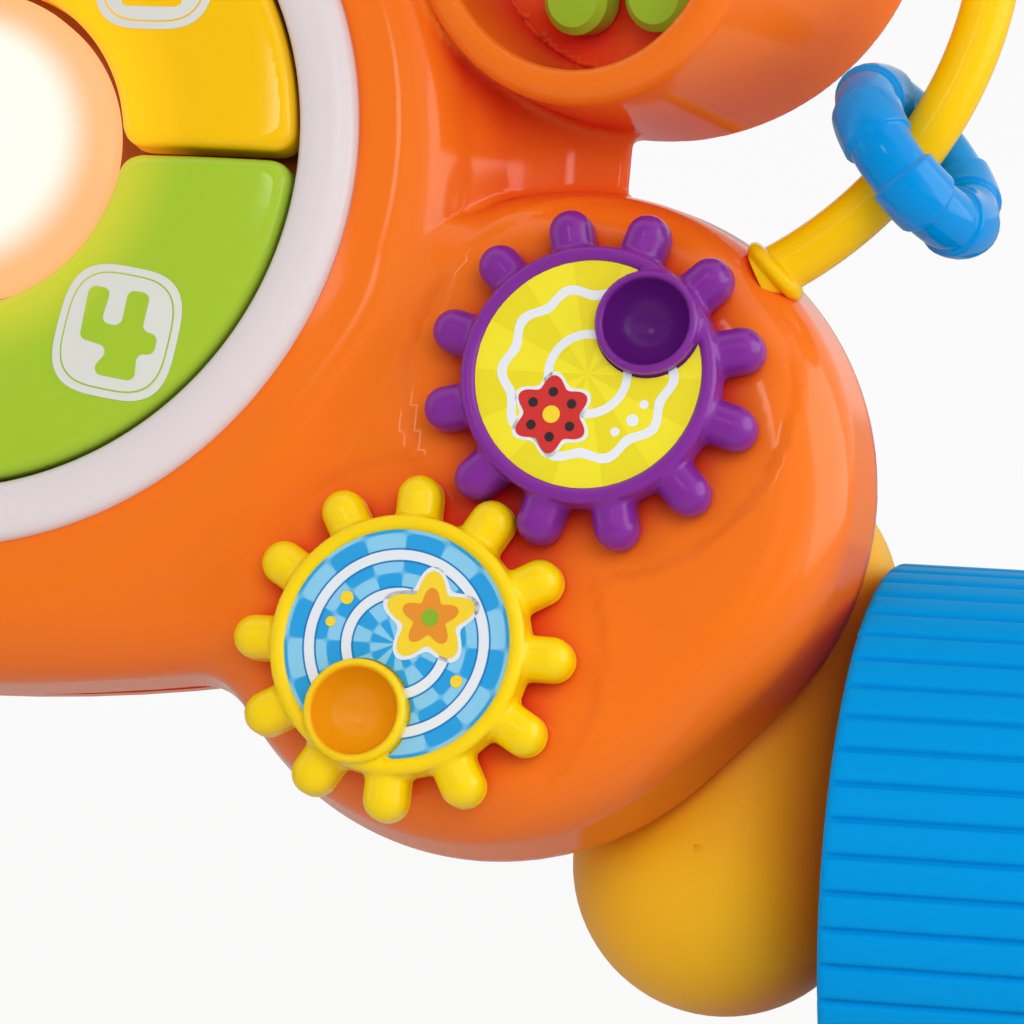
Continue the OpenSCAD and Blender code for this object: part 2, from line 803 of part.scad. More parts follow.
module ring_left() {
  color("YellowGreen") mirror([1, 0, 0]) on_panel() ring_form();
}

// Toys in the cups and in the left lobe

module spinner() {
  color("YellowGreen") on_panel() on_cup() difference() {
    union() {
      translate([0, 0, spin_back]) cylinder(r = 9, h = spin_thick - 2);
      translate([0, 0, spin_back + spin_thick - 2]) cylinder(r1 = 9, r2 = 7, h = 2);
      for (k = [0 : spin_paddles - 1]) rotate([0, 0, k * 360 / spin_paddles]) {
        translate([spin_r - 7, 0, spin_back]) cylinder(r = 7, h = spin_thick - 4);
        translate([spin_r - 7, 0, spin_back + spin_thick - 4]) cylinder(r1 = 7, r2 = 5.5, h = 1.5);
        translate([6, -3, spin_back + 0.5]) cube([spin_r - 13, 6, spin_thick / 2]);
      }
      translate([0, 0, cup_bed - cup_floor - 0.5]) {
        cylinder(r = spin_shaft_r, h = spin_back - cup_bed + cup_floor + 2);
      }
    }
    translate([0, 0, cup_bed - cup_floor - 1]) cylinder(r = screw_r + fit, h = 8);
  }
}

module spinner_screw() {
  color("Silver") on_panel() on_cup() translate([0, 0, cup_bed - cup_floor - 0.5]) {
    translate([0, 0, -2]) cylinder(r = spin_shaft_r + 3, h = 2);
    translate([0, 0, -3.5]) cylinder(r = 3, h = 1.5);
    translate([0, 0, -1]) cylinder(r = screw_r, h = 7);
  }
}

module mirror_rim() {
  color("White") mirror([1, 0, 0]) on_panel() on_cup() translate([0, 0, cup_bed]) difference() {
    puck(cup_mouth_r - 0.3, 1.5, 0, mirror_high);
    translate([0, 0, mirror_high - mirror_thick - 1]) cylinder(r = mirror_r + fit, h = 10);
    translate([0, 0, -1]) cylinder(r = mirror_r - 3, h = mirror_high);
  }
}

module mirror_disc() {
  color("Silver") mirror([1, 0, 0]) on_panel() on_cup() {
    translate([0, 0, cup_bed + mirror_high - mirror_thick - 1]) cylinder(r = mirror_r, h = mirror_thick);
  }
}

// Axis of the roller in the left lobe
module on_roller() {
  mirror([1, 0, 0]) on_panel() on_lobe() translate([0, 0, -roller_depth]) children();
}

module roller() {
  color("MediumPurple") on_roller() difference() {
    union() {
      rod_x(roller_r - 1.6, -roller_long / 2, roller_long / 2);
      for (k = [-2 : 2]) translate([k * roller_long / 5, 0, 0]) {
        rod_x(roller_r, -roller_long / 14, roller_long / 14);
      }
    }
    rod_x(pin_r + run_play, -roller_long, roller_long);
  }
}

module roller_axle() {
  half = roller_long / 2 + roller_play + tray_wall;
  color("Silver") on_roller() rod_x(pin_r, -half, half);
}

module roller_tray() {
  color("Sienna") mirror([1, 0, 0]) on_panel() on_lobe() difference() {
    roller_box(tray_wall, -shell_depth, -lobe_drop - wall);
    roller_box(0, -shell_depth + 1, 1);
    translate([0, 0, -roller_depth]) rod_x(pin_r + fit, -roller_long, roller_long);
  }
}

// Frame, wheels and axles

module side_frame() {
  difference() {
    union() {
      on_panel() translate([leg_x, 0, 0]) {
        translate([0, leg_low_y, leg_depth]) rotate([-90, 0, 0]) {
          cylinder(r = leg_r, h = leg_high_y - leg_low_y);
        }
        translate([0, leg_low_y, leg_depth]) sphere(r = leg_r);
        translate([0, leg_high_y, leg_depth]) sphere(r = leg_r);
        translate([0, boss_y, leg_depth]) cylinder(r = boss_r, h = plate_back - leg_depth);
      }
      translate([leg_x, front_y, axle_z]) rotate([-90, 0, 0]) cylinder(r = rail_r, h = wheelbase);
      translate([leg_x, rear_y, axle_z]) sphere(r = rear_r);
      translate([leg_x, rear_y, axle_z]) rotate([0, 90, 0]) {
        cylinder(r = rear_r, h = wheel_inner - leg_x - foot_gap);
      }
    }
    for (y = [front_y, rear_y]) at_wheel(y) translate([0, 0, -axle_in]) {
      cylinder(r = axle_r + fit, h = axle_in + 5);
    }
    on_panel() translate([leg_x, boss_y, leg_depth - leg_r - 5]) cylinder(r = bolt_r + fit, h = leg_r * 3);
    on_panel() translate([leg_x, boss_y, leg_depth - leg_r - 5]) {
      cylinder(r = bolt_r * 2.4, h = bolt_head_z - leg_depth + leg_r + 5);
    }
    on_panel() translate([leg_x - leg_r * 2, brace_local_y, brace_z]) {
      rod_x(brace_r + fit, 0, leg_r * 2 - leg_r + brace_in);
    }
  }
}

module leg_screw() {
  on_panel() translate([leg_x, boss_y, bolt_head_z]) {
    translate([0, 0, -3.5]) cylinder(r = bolt_r * 2, h = 3.5);
    cylinder(r = bolt_r, h = plate_back - bolt_head_z + wall + 6);
  }
}

module side_frame_right() {
  color("Gold") side_frame();
}

module side_frame_left() {
  color("Gold") mirror([1, 0, 0]) side_frame();
}

module leg_screw_right() {
  color("Silver") leg_screw();
}

module leg_screw_left() {
  color("Silver") mirror([1, 0, 0]) leg_screw();
}

module cross_brace() {
  color("Gold") on_panel() translate([0, brace_local_y, brace_z]) {
    rod_x(brace_r, -leg_x + leg_r - brace_in, leg_x - leg_r + brace_in);
  }
}

module axle_form() {
  translate([0, 0, -axle_in]) cylinder(r = axle_r, h = axle_in + axle_end);
}

// Hollow wheel drum with tread grooves, two webs, vent holes and a hub
module wheel_form() {
  difference() {
    union() {
      difference() {
        cylinder(r = wheel_r, h = wheel_wide);
        translate([0, 0, web_z + web_thick]) cylinder(r = wheel_r - drum_wall, h = wheel_wide);
        translate([0, 0, web_thick]) cylinder(r = wheel_r - drum_wall, h = web_z - web_thick);
        for (k = [0 : tread_count - 1]) rotate([0, 0, (k + 0.5) * 360 / tread_count]) {
          translate([wheel_r + 0.2, 0, -1]) cylinder(r = tread_groove, h = wheel_wide + 2, $fn = 24);
        }
        for (a = [0, 120, 240]) rotate([0, 0, a]) translate([wheel_r / 2, 0, -1]) {
          cylinder(r = 3, h = web_thick + 2);
        }
      }
      cylinder(r = hub_r, h = web_z + web_thick);
    }
    translate([0, 0, -1]) cylinder(r = axle_r + run_play, h = wheel_wide);
  }
}

module cap_form() {
  difference() {
    puck(cap_r, 4, web_z + web_thick, wheel_wide + cap_proud);
    translate([0, 0, web_z]) cylinder(r = axle_r + 2, h = axle_end - web_z + 1.5);
  }
}

module axle_front_right() {
  color("Silver") at_wheel(front_y) axle_form();
}

module axle_front_left() {
  color("Silver") mirror([1, 0, 0]) at_wheel(front_y) axle_form();
}

module axle_rear_right() {
  color("Silver") at_wheel(rear_y) axle_form();
}

module axle_rear_left() {
  color("Silver") mirror([1, 0, 0]) at_wheel(rear_y) axle_form();
}

module wheel_front_right() {
  color("DodgerBlue") at_wheel(front_y) wheel_form();
}

module wheel_front_left() {
  color("DodgerBlue") mirror([1, 0, 0]) at_wheel(front_y) wheel_form();
}

module wheel_rear_right() {
  color("DodgerBlue") at_wheel(rear_y) wheel_form();
}

module wheel_rear_left() {
  color("DodgerBlue") mirror([1, 0, 0]) at_wheel(rear_y) wheel_form();
}

module cap_front_right() {
  color("Gold") at_wheel(front_y) cap_form();
}

module cap_front_left() {
  color("Gold") mirror([1, 0, 0]) at_wheel(front_y) cap_form();
}

module cap_rear_right() {
  color("Gold") at_wheel(rear_y) cap_form();
}

module cap_rear_left() {
  color("Gold") mirror([1, 0, 0]) at_wheel(rear_y) cap_form();
}

// Handle

module handle_frame() {
  color("Gold") on_panel() translate([0, 0, arm_z]) {
    both_sides() {
      translate([arm_x, socket_floor, 0]) rotate([-90, 0, 0]) {
        cylinder(r = arm_r, h = arm_top - bend_r - socket_floor);
      }
      translate([arm_x - bend_r, arm_top - bend_r, 0]) {
        rotate_extrude(angle = 90) translate([bend_r, 0]) circle(arm_r);
      }
    }
    translate([0, arm_top, 0]) rod_x(arm_r, bend_r - arm_x, arm_x - bend_r);
  }
}

module handle_grip() {
  half = arm_x - bend_r - 2;
  color("RoyalBlue") on_panel() translate([0, arm_top, arm_z]) difference() {
    union() {
      rod_x(arm_r + grip_thick - 1, -half, half);
      for (k = [-3 : 3]) translate([k * half / 3.6, 0, 0]) rod_x(arm_r + grip_thick, -half / 10, half / 10);
    }
    rod_x(arm_r + fit, -half - 1, half + 1);
  }
}

module handle_socket() {
  on_panel() difference() {
    translate([arm_x - socket_half, socket_top - socket_long, arm_z - socket_half]) {
      cube([2 * socket_half, socket_long, plate_back - arm_z + socket_half]);
    }
    translate([arm_x, socket_floor, arm_z]) rotate([-90, 0, 0]) cylinder(r = arm_r + fit, h = socket_long);
  }
}

module handle_socket_right() {
  color("Gold") handle_socket();
}

module handle_socket_left() {
  color("Gold") mirror([1, 0, 0]) handle_socket();
}

// Power and sound

module circuit_board() {
  color("DarkGreen") on_panel() translate([0, 0, board_z]) {
    translate([-board_wide / 2, -board_tall / 2, 0]) cube([board_wide, board_tall, board_thick]);
    translate([-board_wide / 9, -board_tall / 8, board_thick]) cube([board_wide / 4.5, board_tall / 4, 3]);
    translate([board_wide / 4.5, -board_tall / 3, board_thick]) cube([board_wide / 9, board_tall / 8, 2.5]);
    translate([-board_wide / 3.2, board_tall / 6, board_thick]) cylinder(r = board_wide / 27, h = 8);
  }
}

module speaker() {
  color("DimGray") on_panel() translate([0, speaker_high, bulge_in]) {
    cylinder(r = speaker_r, h = speaker_r / 6);
    cylinder(r1 = speaker_r - 2, r2 = speaker_r / 2, h = speaker_r * 0.375);
    cylinder(r = speaker_r / 2, h = speaker_r * 0.625);
  }
}

module battery_tray() {
  color("DimGray") on_panel() difference() {
    union() {
      translate([-tray_x - 5, tray_mid - tray_y - 5, bulge_in]) {
        cube([2 * tray_x + 10, 2 * tray_y + 10, tray_deep]);
      }
      translate([0, tab_y, bulge_in]) cylinder(r = 5.6, h = 10);
    }
    translate([-tray_x, tray_mid - tray_y, bulge_in - 1]) cube([2 * tray_x, 2 * tray_y, tray_deep - 1]);
    translate([0, tab_y, bulge_in - 1]) cylinder(r = screw_r + fit, h = 9);
  }
}

module battery_cells() {
  color("SlateGray") on_panel() for (k = [-1 : 1]) {
    translate([0, tray_mid + k * cell_pitch, bulge_in + tray_deep - 2 - cell_r]) {
      rod_x(cell_r, -cell_long / 2 + 1, cell_long / 2);
      rod_x(2.7, -cell_long / 2, -cell_long / 2 + 2);
    }
  }
}

module battery_door() {
  color("OrangeRed") on_panel() difference() {
    door_form(0, bulge_back, bulge_in);
    translate([0, tab_y, bulge_back - 1]) cylinder(r = screw_r + fit, h = wall + 2);
  }
}

module battery_door_screw() {
  color("Silver") on_panel() translate([0, tab_y, bulge_back]) case_screw(wall + 6);
}

module power_switch() {
  color("Crimson") on_panel() {
    translate([-switch_wide / 2, switch_y - switch_tall / 2, bulge_back - 3]) {
      cube([switch_wide, switch_tall, wall + 4]);
    }
    translate([-slide_wide / 2, switch_y - slide_tall / 2, bulge_in + 0.3]) {
      cube([slide_wide, slide_tall, 1.6]);
    }
  }
}

// Drawing

front_shell();
back_shell();
shell_screws();
dial_bezel();
light_dome();
led_board();
key_bed();
key_springs();
key_1();
key_2();
key_3();
key_4();
gear_upper();
gear_upper_label();
gear_upper_screw();
gear_lower();
gear_lower_label();
gear_lower_screw();
arch_right();
arch_left();
ring_right();
ring_left();
spinner();
spinner_screw();
mirror_rim();
mirror_disc();  // mirror
roller();
roller_axle();
roller_tray();
side_frame_right();
side_frame_left();
leg_screw_right();
leg_screw_left();
cross_brace();
axle_front_right();
axle_front_left();
axle_rear_right();
axle_rear_left();
wheel_front_right();
wheel_front_left();
wheel_rear_right();
wheel_rear_left();
cap_front_right();
cap_front_left();
cap_rear_right();
cap_rear_left();
handle_frame();
handle_grip();
handle_socket_right();
handle_socket_left();
circuit_board();
speaker();
battery_tray();
battery_cells();
battery_door();
battery_door_screw();
power_switch();
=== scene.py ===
"""Looks of the baby push walker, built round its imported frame.

Sizes are in millimetres. The camera, the lamps and the floor are in metres.
"""

import math

import bpy
import numpy as np
from mathutils import Matrix, Vector
from mathutils.geometry import delaunay_2d_cdt


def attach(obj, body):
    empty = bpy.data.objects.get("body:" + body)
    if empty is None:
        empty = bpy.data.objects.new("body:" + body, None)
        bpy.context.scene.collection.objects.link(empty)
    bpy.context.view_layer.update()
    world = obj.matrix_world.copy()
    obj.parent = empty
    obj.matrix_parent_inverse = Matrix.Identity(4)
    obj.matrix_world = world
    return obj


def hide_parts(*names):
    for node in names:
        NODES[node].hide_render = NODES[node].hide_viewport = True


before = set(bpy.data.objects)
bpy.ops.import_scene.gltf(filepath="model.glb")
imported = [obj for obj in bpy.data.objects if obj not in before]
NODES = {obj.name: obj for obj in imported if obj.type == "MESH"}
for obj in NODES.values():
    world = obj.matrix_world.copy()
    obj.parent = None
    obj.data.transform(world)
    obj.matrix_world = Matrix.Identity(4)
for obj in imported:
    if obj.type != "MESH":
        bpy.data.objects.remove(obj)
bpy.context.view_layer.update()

MM = 0.001

# Toy panel: origin at the dial centre, x to the right, y up along the panel, z out of it
LEAN = math.radians(22)
DIAL = (0, -136.702, 204.7)
PANEL = Matrix.Translation(Vector(DIAL) * MM) @ Matrix.Rotation(math.pi / 2 - LEAN, 4, "X")

# Front shell
SHELL_DEPTH = 32
WALL = 4.5
BODY_R = 98
BODY_EDGE = 10
LOBE = (118, -65.7)
LOBE_R = 60
LOBE_TOP = -4
LOBE_EDGE = 13
LOBE_STRETCH = 9
LOBE_TURN = math.radians(47)
LOBE_DRAFT = 0.14
LOBE_FOOT_Z = -28
NECK_HALF = 130.8
NECK_TAPER = 0.3
NECK_Z = -22
NECK_EDGE = 2
COLLAR_R = 97
COLLAR_Z = -5
COLLAR_SLOPE = 0.9
NECK_Y = (-43, 60)
BRIDGE_R = 345
BRIDGE_LOW = -105
BRIDGE_HALF = 80
BRIDGE_Z = -5
BRIDGE_EDGE = 12
CUP_FOOT = np.array((134.6, 57.4, -30.0))
CUP_TILT = (math.radians(12.3), math.radians(-15.2))
CUP_FOOT_R = 45
CUP_MOUTH_R = 30.4
CUP_LIP = 3.6
CUP_LONG = 45
CUP_BED = 22
CUP_FLOOR = 6
MOUTH_EDGE = 2
WINDOW_HALF = (32.5, 20)
WINDOW_DEEP = 12
WINDOW_EDGE = 1.5
BACK_EDGE = 2.4

# Sizes of the soft valleys where the forms of the shell meet
BRIDGE_BLEND = 12
LOBE_BLEND = 8
COLLAR_BLEND = 4
NECK_BLEND = 6
CUP_BLEND = 3
CREASE_BLEND = 2

# Grid on which the skin of the shell is found
SHELL_LOW = (-186, -136, -34)
SHELL_HIGH = (186, 113, 29.75)
SHELL_STEP = 1.25

# Dial
BEZEL_R = 81.3
BEZEL_HOLE_R = 69.4
BEZEL_HIGH = 4
BEZEL_CREST_R = 76.4
BEZEL_SINK = 0.2
BEZEL_LIP = 3
DIAL_SEAT = 3.2
DOME_R = 31.5
DOME_RISE = 10
KEY_IN_R = 33.2
KEY_OUT_R = 68.5
KEY_TOP = 3
KEY_BASE = -5.5
KEY_GAP = 1.8

# Gears
RECESS_R = 38.5
RECESS_DEEP = 0.8
RECESS_SLOPE = 2.4
GEAR_UPPER = (132.6, -41.2)
GEAR_LOWER = (99.95, -95.55)
GEAR_BACK = -3.5
GEAR_RIM_R = 25.2
GEAR_TIP_R = 33.8
TOOTH_R = 4.3
TOOTH_Z = 0.3
TOOTH_ROOT = 1.8
TOOTH_BLEND = 1.3
RIM_BEAD_R = 1.6
RIM_BEAD_Z = 1.6
RIM_BEAD_HALF = 3
TEETH = 12
LABEL_R = 22.4
LABEL_Z = 5.2
LABEL_SINK = 0.7
PRINT_STEP = 0.06
FINGER_OUT = 15.1
FINGER_R = 10.2
FINGER_TOP = 8.5
FINGER_EDGE = 1.3
FINGER_WALL = 1.8
UPPER_FINGER = math.radians(43)
LOWER_FINGER = math.radians(-115)
SHAFT_R = 5
SHAFT_PLAY = 0.4
SHAFT_END = -16.5
SHAFT_LONG = 14
GEAR_STEP = 0.9
GEAR_LINE = 59

# Arches and rings
ARCH = (123, 52, -14)
ARCH_R = 78.6
ARCH_SPAN = (math.radians(-61.7), math.radians(158))
TUBE_R = 5.15
SLEEVE = 0.25
BEADS = (math.radians(-59.3), math.radians(151.6))
BEAD_HALF = 1.7
BEAD_HIGH = 1.9
BEAD_LEAN = 1.5
RING_R = 15
RING_T = 6.15
RING_STEP = 0.85
RING_REST = math.radians(-33.5)
RING_TILT = math.radians(15.5)
RING_SWING = math.radians(19.6)
RING_TURN = math.radians(42)
RING_PLAY = 0.3
RING_OUT = RING_R - (RING_T + RING_STEP + TUBE_R + RING_PLAY) / math.cos(RING_SWING) / math.cos(RING_TILT)
SEGMENTS = 6
SEGMENT_SLOPE = 30

# Wheels
WHEEL_R = 63
WHEEL_INNER = 184.6
WHEEL_WIDE = 42
AXLE_Y = 125
TREADS = 56
GROOVE = 1.3
SHOULDER = 2
HUB_R = 27.5
DISH = 8
FACE_SINK = 2
FACE_RIM = 8


def linear(*rgb):
    """Linear colour of an sRGB one given from 0 to 255."""
    return tuple(((c / 255 + 0.055) / 1.055) ** 2.4 if c > 10 else c / 255 / 12.92 for c in rgb)


def math_step(tree, operation, *inputs):
    """Math node of the given operation with its inputs joined or set."""
    node = tree.nodes.new("ShaderNodeMath")
    node.operation = operation
    for socket, value in zip(node.inputs, inputs):
        if isinstance(value, (int, float)):
            socket.default_value = value
        else:
            tree.links.new(value, socket)
    return node.outputs[0]


def plastic(name, colour, roughness=0.2, mottle=0.04, grain=0.02, coat=0.0, shine=0.5):
    """Moulded plastic with faint flow marks in its colour and gloss."""
    material = bpy.data.materials.new(name)
    material.use_nodes = True
    tree = material.node_tree
    shader = tree.nodes["Principled BSDF"]
    shader.inputs["IOR"].default_value = 1.46
    shader.inputs["Specular IOR Level"].default_value = shine
    shader.inputs["Coat Weight"].default_value = coat
    shader.inputs["Coat Roughness"].default_value = 0.06
    place = tree.nodes.new("ShaderNodeTexCoord")
    flow = tree.nodes.new("ShaderNodeTexNoise")
    flow.inputs["Scale"].default_value = 14
    flow.inputs["Detail"].default_value = 3
    tint = tree.nodes.new("ShaderNodeMix")
    tint.data_type = "RGBA"
    base = linear(*colour)
    tint.inputs["A"].default_value = (*[c * (1 - mottle) for c in base], 1)
    tint.inputs["B"].default_value = (*[min(1, c * (1 + mottle)) for c in base], 1)
    gloss = tree.nodes.new("ShaderNodeMapRange")
    gloss.inputs["To Min"].default_value = roughness * 0.85
    gloss.inputs["To Max"].default_value = roughness * 1.15
    skin = tree.nodes.new("ShaderNodeTexNoise")
    skin.inputs["Scale"].default_value = 900
    bump = tree.nodes.new("ShaderNodeBump")
    bump.inputs["Strength"].default_value = grain
    bump.inputs["Distance"].default_value = 0.0004
    link = tree.links.new
    link(place.outputs["Object"], flow.inputs["Vector"])
    link(place.outputs["Object"], skin.inputs["Vector"])
    link(flow.outputs["Fac"], tint.inputs["Factor"])
    link(flow.outputs["Fac"], gloss.inputs["Value"])
    link(skin.outputs["Fac"], bump.inputs["Height"])
    link(tint.outputs["Result"], shader.inputs["Base Color"])
    link(gloss.outputs["Result"], shader.inputs["Roughness"])
    link(bump.outputs["Normal"], shader.inputs["Normal"])
    return material


def metal(name, colour, roughness=0.3):
    material = plastic(name, colour, roughness, mottle=0.06)
    material.node_tree.nodes["Principled BSDF"].inputs["Metallic"].default_value = 1
    return material


def outward(tree, near, far):
    """Share that grows from 0 to 1 between two distances from the z axis of the piece."""
    place = tree.nodes.new("ShaderNodeTexCoord")
    flat = tree.nodes.new("ShaderNodeVectorMath")
    flat.operation = "MULTIPLY"
    flat.inputs[1].default_value = (1, 1, 0)
    length = tree.nodes.new("ShaderNodeVectorMath")
    length.operation = "LENGTH"
    span = tree.nodes.new("ShaderNodeMapRange")
    span.interpolation_type = "SMOOTHSTEP"
    span.inputs["From Min"].default_value = near * MM
    span.inputs["From Max"].default_value = far * MM
    tree.links.new(place.outputs["Object"], flat.inputs[0])
    tree.links.new(flat.outputs["Vector"], length.inputs[0])
    tree.links.new(length.outputs["Value"], span.inputs["Value"])
    return span.outputs["Result"]


def glowing(name, centre, rim, reach, strength):
    """Translucent dome lit from behind, bright in the middle and warmer toward its edge."""
    material = plastic(name, [c // 3 for c in rim], 0.25)
    tree = material.node_tree
    shader = tree.nodes["Principled BSDF"]
    blend = tree.nodes.new("ShaderNodeMix")
    blend.data_type = "RGBA"
    blend.inputs["A"].default_value = (*linear(*centre), 1)
    blend.inputs["B"].default_value = (*linear(*rim), 1)
    tree.links.new(outward(tree, *reach), blend.inputs["Factor"])
    tree.links.new(blend.outputs["Result"], shader.inputs["Emission Color"])
    shader.inputs["Emission Strength"].default_value = strength
    return material


def key_with_painted_glow(name, colour, glow, shine=0.5):
    """Key with a painted glow near the dome: emission that stands in for the dome lamp's light falling on
    it.
    """
    material = plastic(name, colour, 0.09, shine=shine)
    tree = material.node_tree
    shader = tree.nodes["Principled BSDF"]
    # Painted glow: emission near the dome in place of the lamp light that falls on the key
    shader.inputs["Emission Color"].default_value = (*linear(*glow), 1)
    near = math_step(tree, "SUBTRACT", 1, outward(tree, KEY_IN_R - 2, KEY_IN_R + 16))
    tree.links.new(math_step(tree, "MULTIPLY", near, 0.45), shader.inputs["Emission Strength"])
    return material


def toned(name, first, second, sectors, band=None):
    """Label with two tones in turn round its middle, and outward too where band gives a width."""
    material = plastic(name, first, 0.3)
    tree = material.node_tree
    link = tree.links.new
    place = tree.nodes.new("ShaderNodeTexCoord")
    split = tree.nodes.new("ShaderNodeSeparateXYZ")
    link(place.outputs["Object"], split.inputs["Vector"])

    angle = math_step(tree, "ARCTAN2", split.outputs["Y"], split.outputs["X"])
    wave = math_step(tree, "SINE", math_step(tree, "MULTIPLY", angle, sectors), 0)
    if band:
        length = tree.nodes.new("ShaderNodeVectorMath")
        length.operation = "LENGTH"
        link(place.outputs["Object"], length.inputs[0])
        turns = math_step(tree, "MULTIPLY", length.outputs["Value"], math.pi / (band * MM))
        wave = math_step(tree, "MULTIPLY", wave, math_step(tree, "SINE", turns, 0))
    step = tree.nodes.new("ShaderNodeMapRange")
    step.inputs["From Min"].default_value = -0.05
    step.inputs["From Max"].default_value = 0.05
    link(wave, step.inputs["Value"])
    blend = tree.nodes.new("ShaderNodeMix")
    blend.data_type = "RGBA"
    blend.inputs["A"].default_value = (*linear(*first), 1)
    blend.inputs["B"].default_value = (*linear(*second), 1)
    link(step.outputs["Result"], blend.inputs["Factor"])
    link(blend.outputs["Result"], tree.nodes["Principled BSDF"].inputs["Base Color"])
    return material


def with_painted_shade(material, shade_colour, reach):
    """Plastic with painted shade: its colour goes deeper in narrow places, where other surfaces are within
    reach metres, standing in for the shade that falls there.
    """
    tree = material.node_tree
    shader = tree.nodes["Principled BSDF"]
    room = tree.nodes.new("ShaderNodeAmbientOcclusion")
    room.samples = 6
    room.inputs["Distance"].default_value = reach
    narrow = tree.nodes.new("ShaderNodeMapRange")
    narrow.inputs["From Min"].default_value = 0.6
    narrow.inputs["From Max"].default_value = 0.2
    blend = tree.nodes.new("ShaderNodeMix")
    blend.data_type = "RGBA"
    # Painted shade colour, mixed in where ambient occlusion finds other surfaces near
    blend.inputs["B"].default_value = (*linear(*shade_colour), 1)
    link = tree.links.new
    link(room.outputs["AO"], narrow.inputs["Value"])
    link(narrow.outputs["Result"], blend.inputs["Factor"])
    link(shader.inputs["Base Color"].links[0].from_socket, blend.inputs["A"])
    link(blend.outputs["Result"], shader.inputs["Base Color"])
    return material


def with_painted_cup_shade(name, colour, bowl, finger):
    """Gear plastic with painted shade: a deeper tone inside its finger cup, standing in for the shade in
    the hollow.
    """
    material = plastic(name, colour, 0.22, shine=0.4)
    tree = material.node_tree
    shader = tree.nodes["Principled BSDF"]
    place = tree.nodes.new("ShaderNodeTexCoord")
    away = tree.nodes.new("ShaderNodeVectorMath")
    away.operation = "DISTANCE"
    middle = Vector((FINGER_OUT * math.cos(finger), FINGER_OUT * math.sin(finger), FINGER_TOP))
    away.inputs[1].default_value = middle * MM
    rim = tree.nodes.new("ShaderNodeMapRange")
    rim.interpolation_type = "SMOOTHSTEP"
    rim.inputs["From Min"].default_value = (FINGER_R - 2) * MM
    rim.inputs["From Max"].default_value = (FINGER_R - 0.8) * MM
    blend = tree.nodes.new("ShaderNodeMix")
    blend.data_type = "RGBA"
    # The bowl colour is painted shade inside the finger cup
    blend.inputs["A"].default_value = (*linear(*bowl), 1)
    link = tree.links.new
    link(shader.inputs["Base Color"].links[0].from_socket, blend.inputs["B"])
    link(place.outputs["Object"], away.inputs[0])
    link(away.outputs["Value"], rim.inputs["Value"])
    link(rim.outputs["Result"], blend.inputs["Factor"])
    link(blend.outputs["Result"], shader.inputs["Base Color"])
    return material


# The orange shell carries painted shade: deep red in narrow places
ORANGE = with_painted_shade(plastic("orange_moulded", (247, 118, 26), 0.12, shine=0.42), (225, 18, 30), 0.05)
WHITE = plastic("white_moulded", (228, 216, 218), 0.22)
PURPLE = plastic("purple_moulded", (130, 42, 150), 0.2)
# Gear plastics with painted shade inside their finger cups
PURPLE_GEAR = with_painted_cup_shade("purple_gear", (130, 42, 150), (92, 22, 116), UPPER_FINGER)
YELLOW = plastic("yellow_moulded", (255, 212, 4), 0.26, shine=0.3)
YELLOW_GEAR = with_painted_cup_shade("yellow_gear", (255, 214, 4), (240, 158, 16), LOWER_FINGER)
TUBE = plastic("tube_moulded", (255, 198, 2), 0.2, shine=0.25)
# The legs carry painted shade: brown-orange in narrow places, such as next to the tyre
LEG = with_painted_shade(plastic("leg_moulded", (255, 186, 22), 0.4, shine=0.25), (236, 104, 30), 0.05)
# Keys carry a painted glow near the dome
YELLOW_KEY = key_with_painted_glow("yellow_key", (253, 196, 8), (255, 160, 30))
GREEN = plastic("green_moulded", (156, 194, 48), 0.14, shine=0.4)
GREEN_KEY = key_with_painted_glow("green_key", (166, 199, 52), (220, 150, 40), shine=0.4)
BLUE = plastic("blue_moulded", (0, 140, 214), 0.1, shine=0.3)
TYRE = plastic("blue_tyre", (0, 150, 222), 0.45, shine=0.05)
BLUE_KEY = key_with_painted_glow("blue_key", (0, 138, 214), (90, 160, 190))
PURPLE_KEY = key_with_painted_glow("purple_key", (132, 44, 150), (190, 90, 130))
DARK = plastic("dark_moulded", (40, 38, 38), 0.45)
BOARD = plastic("board_mask", (22, 92, 44), 0.35)
RED = plastic("red_moulded", (198, 30, 30), 0.2)
GRIP = plastic("grip_rubber", (28, 60, 150), 0.6, grain=0.25)
CELLS = plastic("cell_wrap", (70, 74, 82), 0.4)
STEEL = metal("steel", (190, 192, 196))
GLASS = metal("mirror_face", (236, 238, 240), 0.03)
DOME = glowing("dome_glow", (255, 252, 240), (247, 184, 124), (20, 29), 1.0)
# Key bed with a painted glow near the dome, where the dome lamp's light would fall
BED = key_with_painted_glow("key_bed_painted_glow", (168, 84, 34), (255, 150, 76))
PALE = plastic("badge_pale", (222, 222, 214), 0.2)
LABEL_YELLOW = toned("label_yellow", (238, 220, 16), (246, 230, 30), 7)
LABEL_BLUE = toned("label_blue", (30, 160, 226), (136, 204, 238), 8, 7.4)
PRINT_WHITE = plastic("print_white", (232, 236, 242), 0.3)
PRINT_RED = plastic("print_red", (212, 44, 40), 0.3)
PRINT_DARK = plastic("print_dark", (46, 40, 44), 0.3)
PRINT_ORANGE = plastic("print_orange", (238, 146, 36), 0.3)
PRINT_YELLOW = plastic("print_yellow", (250, 214, 40), 0.3)
PRINT_GREEN = plastic("print_green", (140, 184, 40), 0.3)
PRINT_BLUE = plastic("print_blue", (20, 120, 190), 0.3)


def smooth_min(a, b, k):
    """Union of two fields with a soft valley of size k."""
    h = np.clip(0.5 + 0.5 * (b - a) / k, 0, 1)
    return b * (1 - h) + a * h - k * h * (1 - h)


def smooth_max(a, b, k):
    """Intersection of two fields with an edge softened over k."""
    return -smooth_min(-a, -b, k)


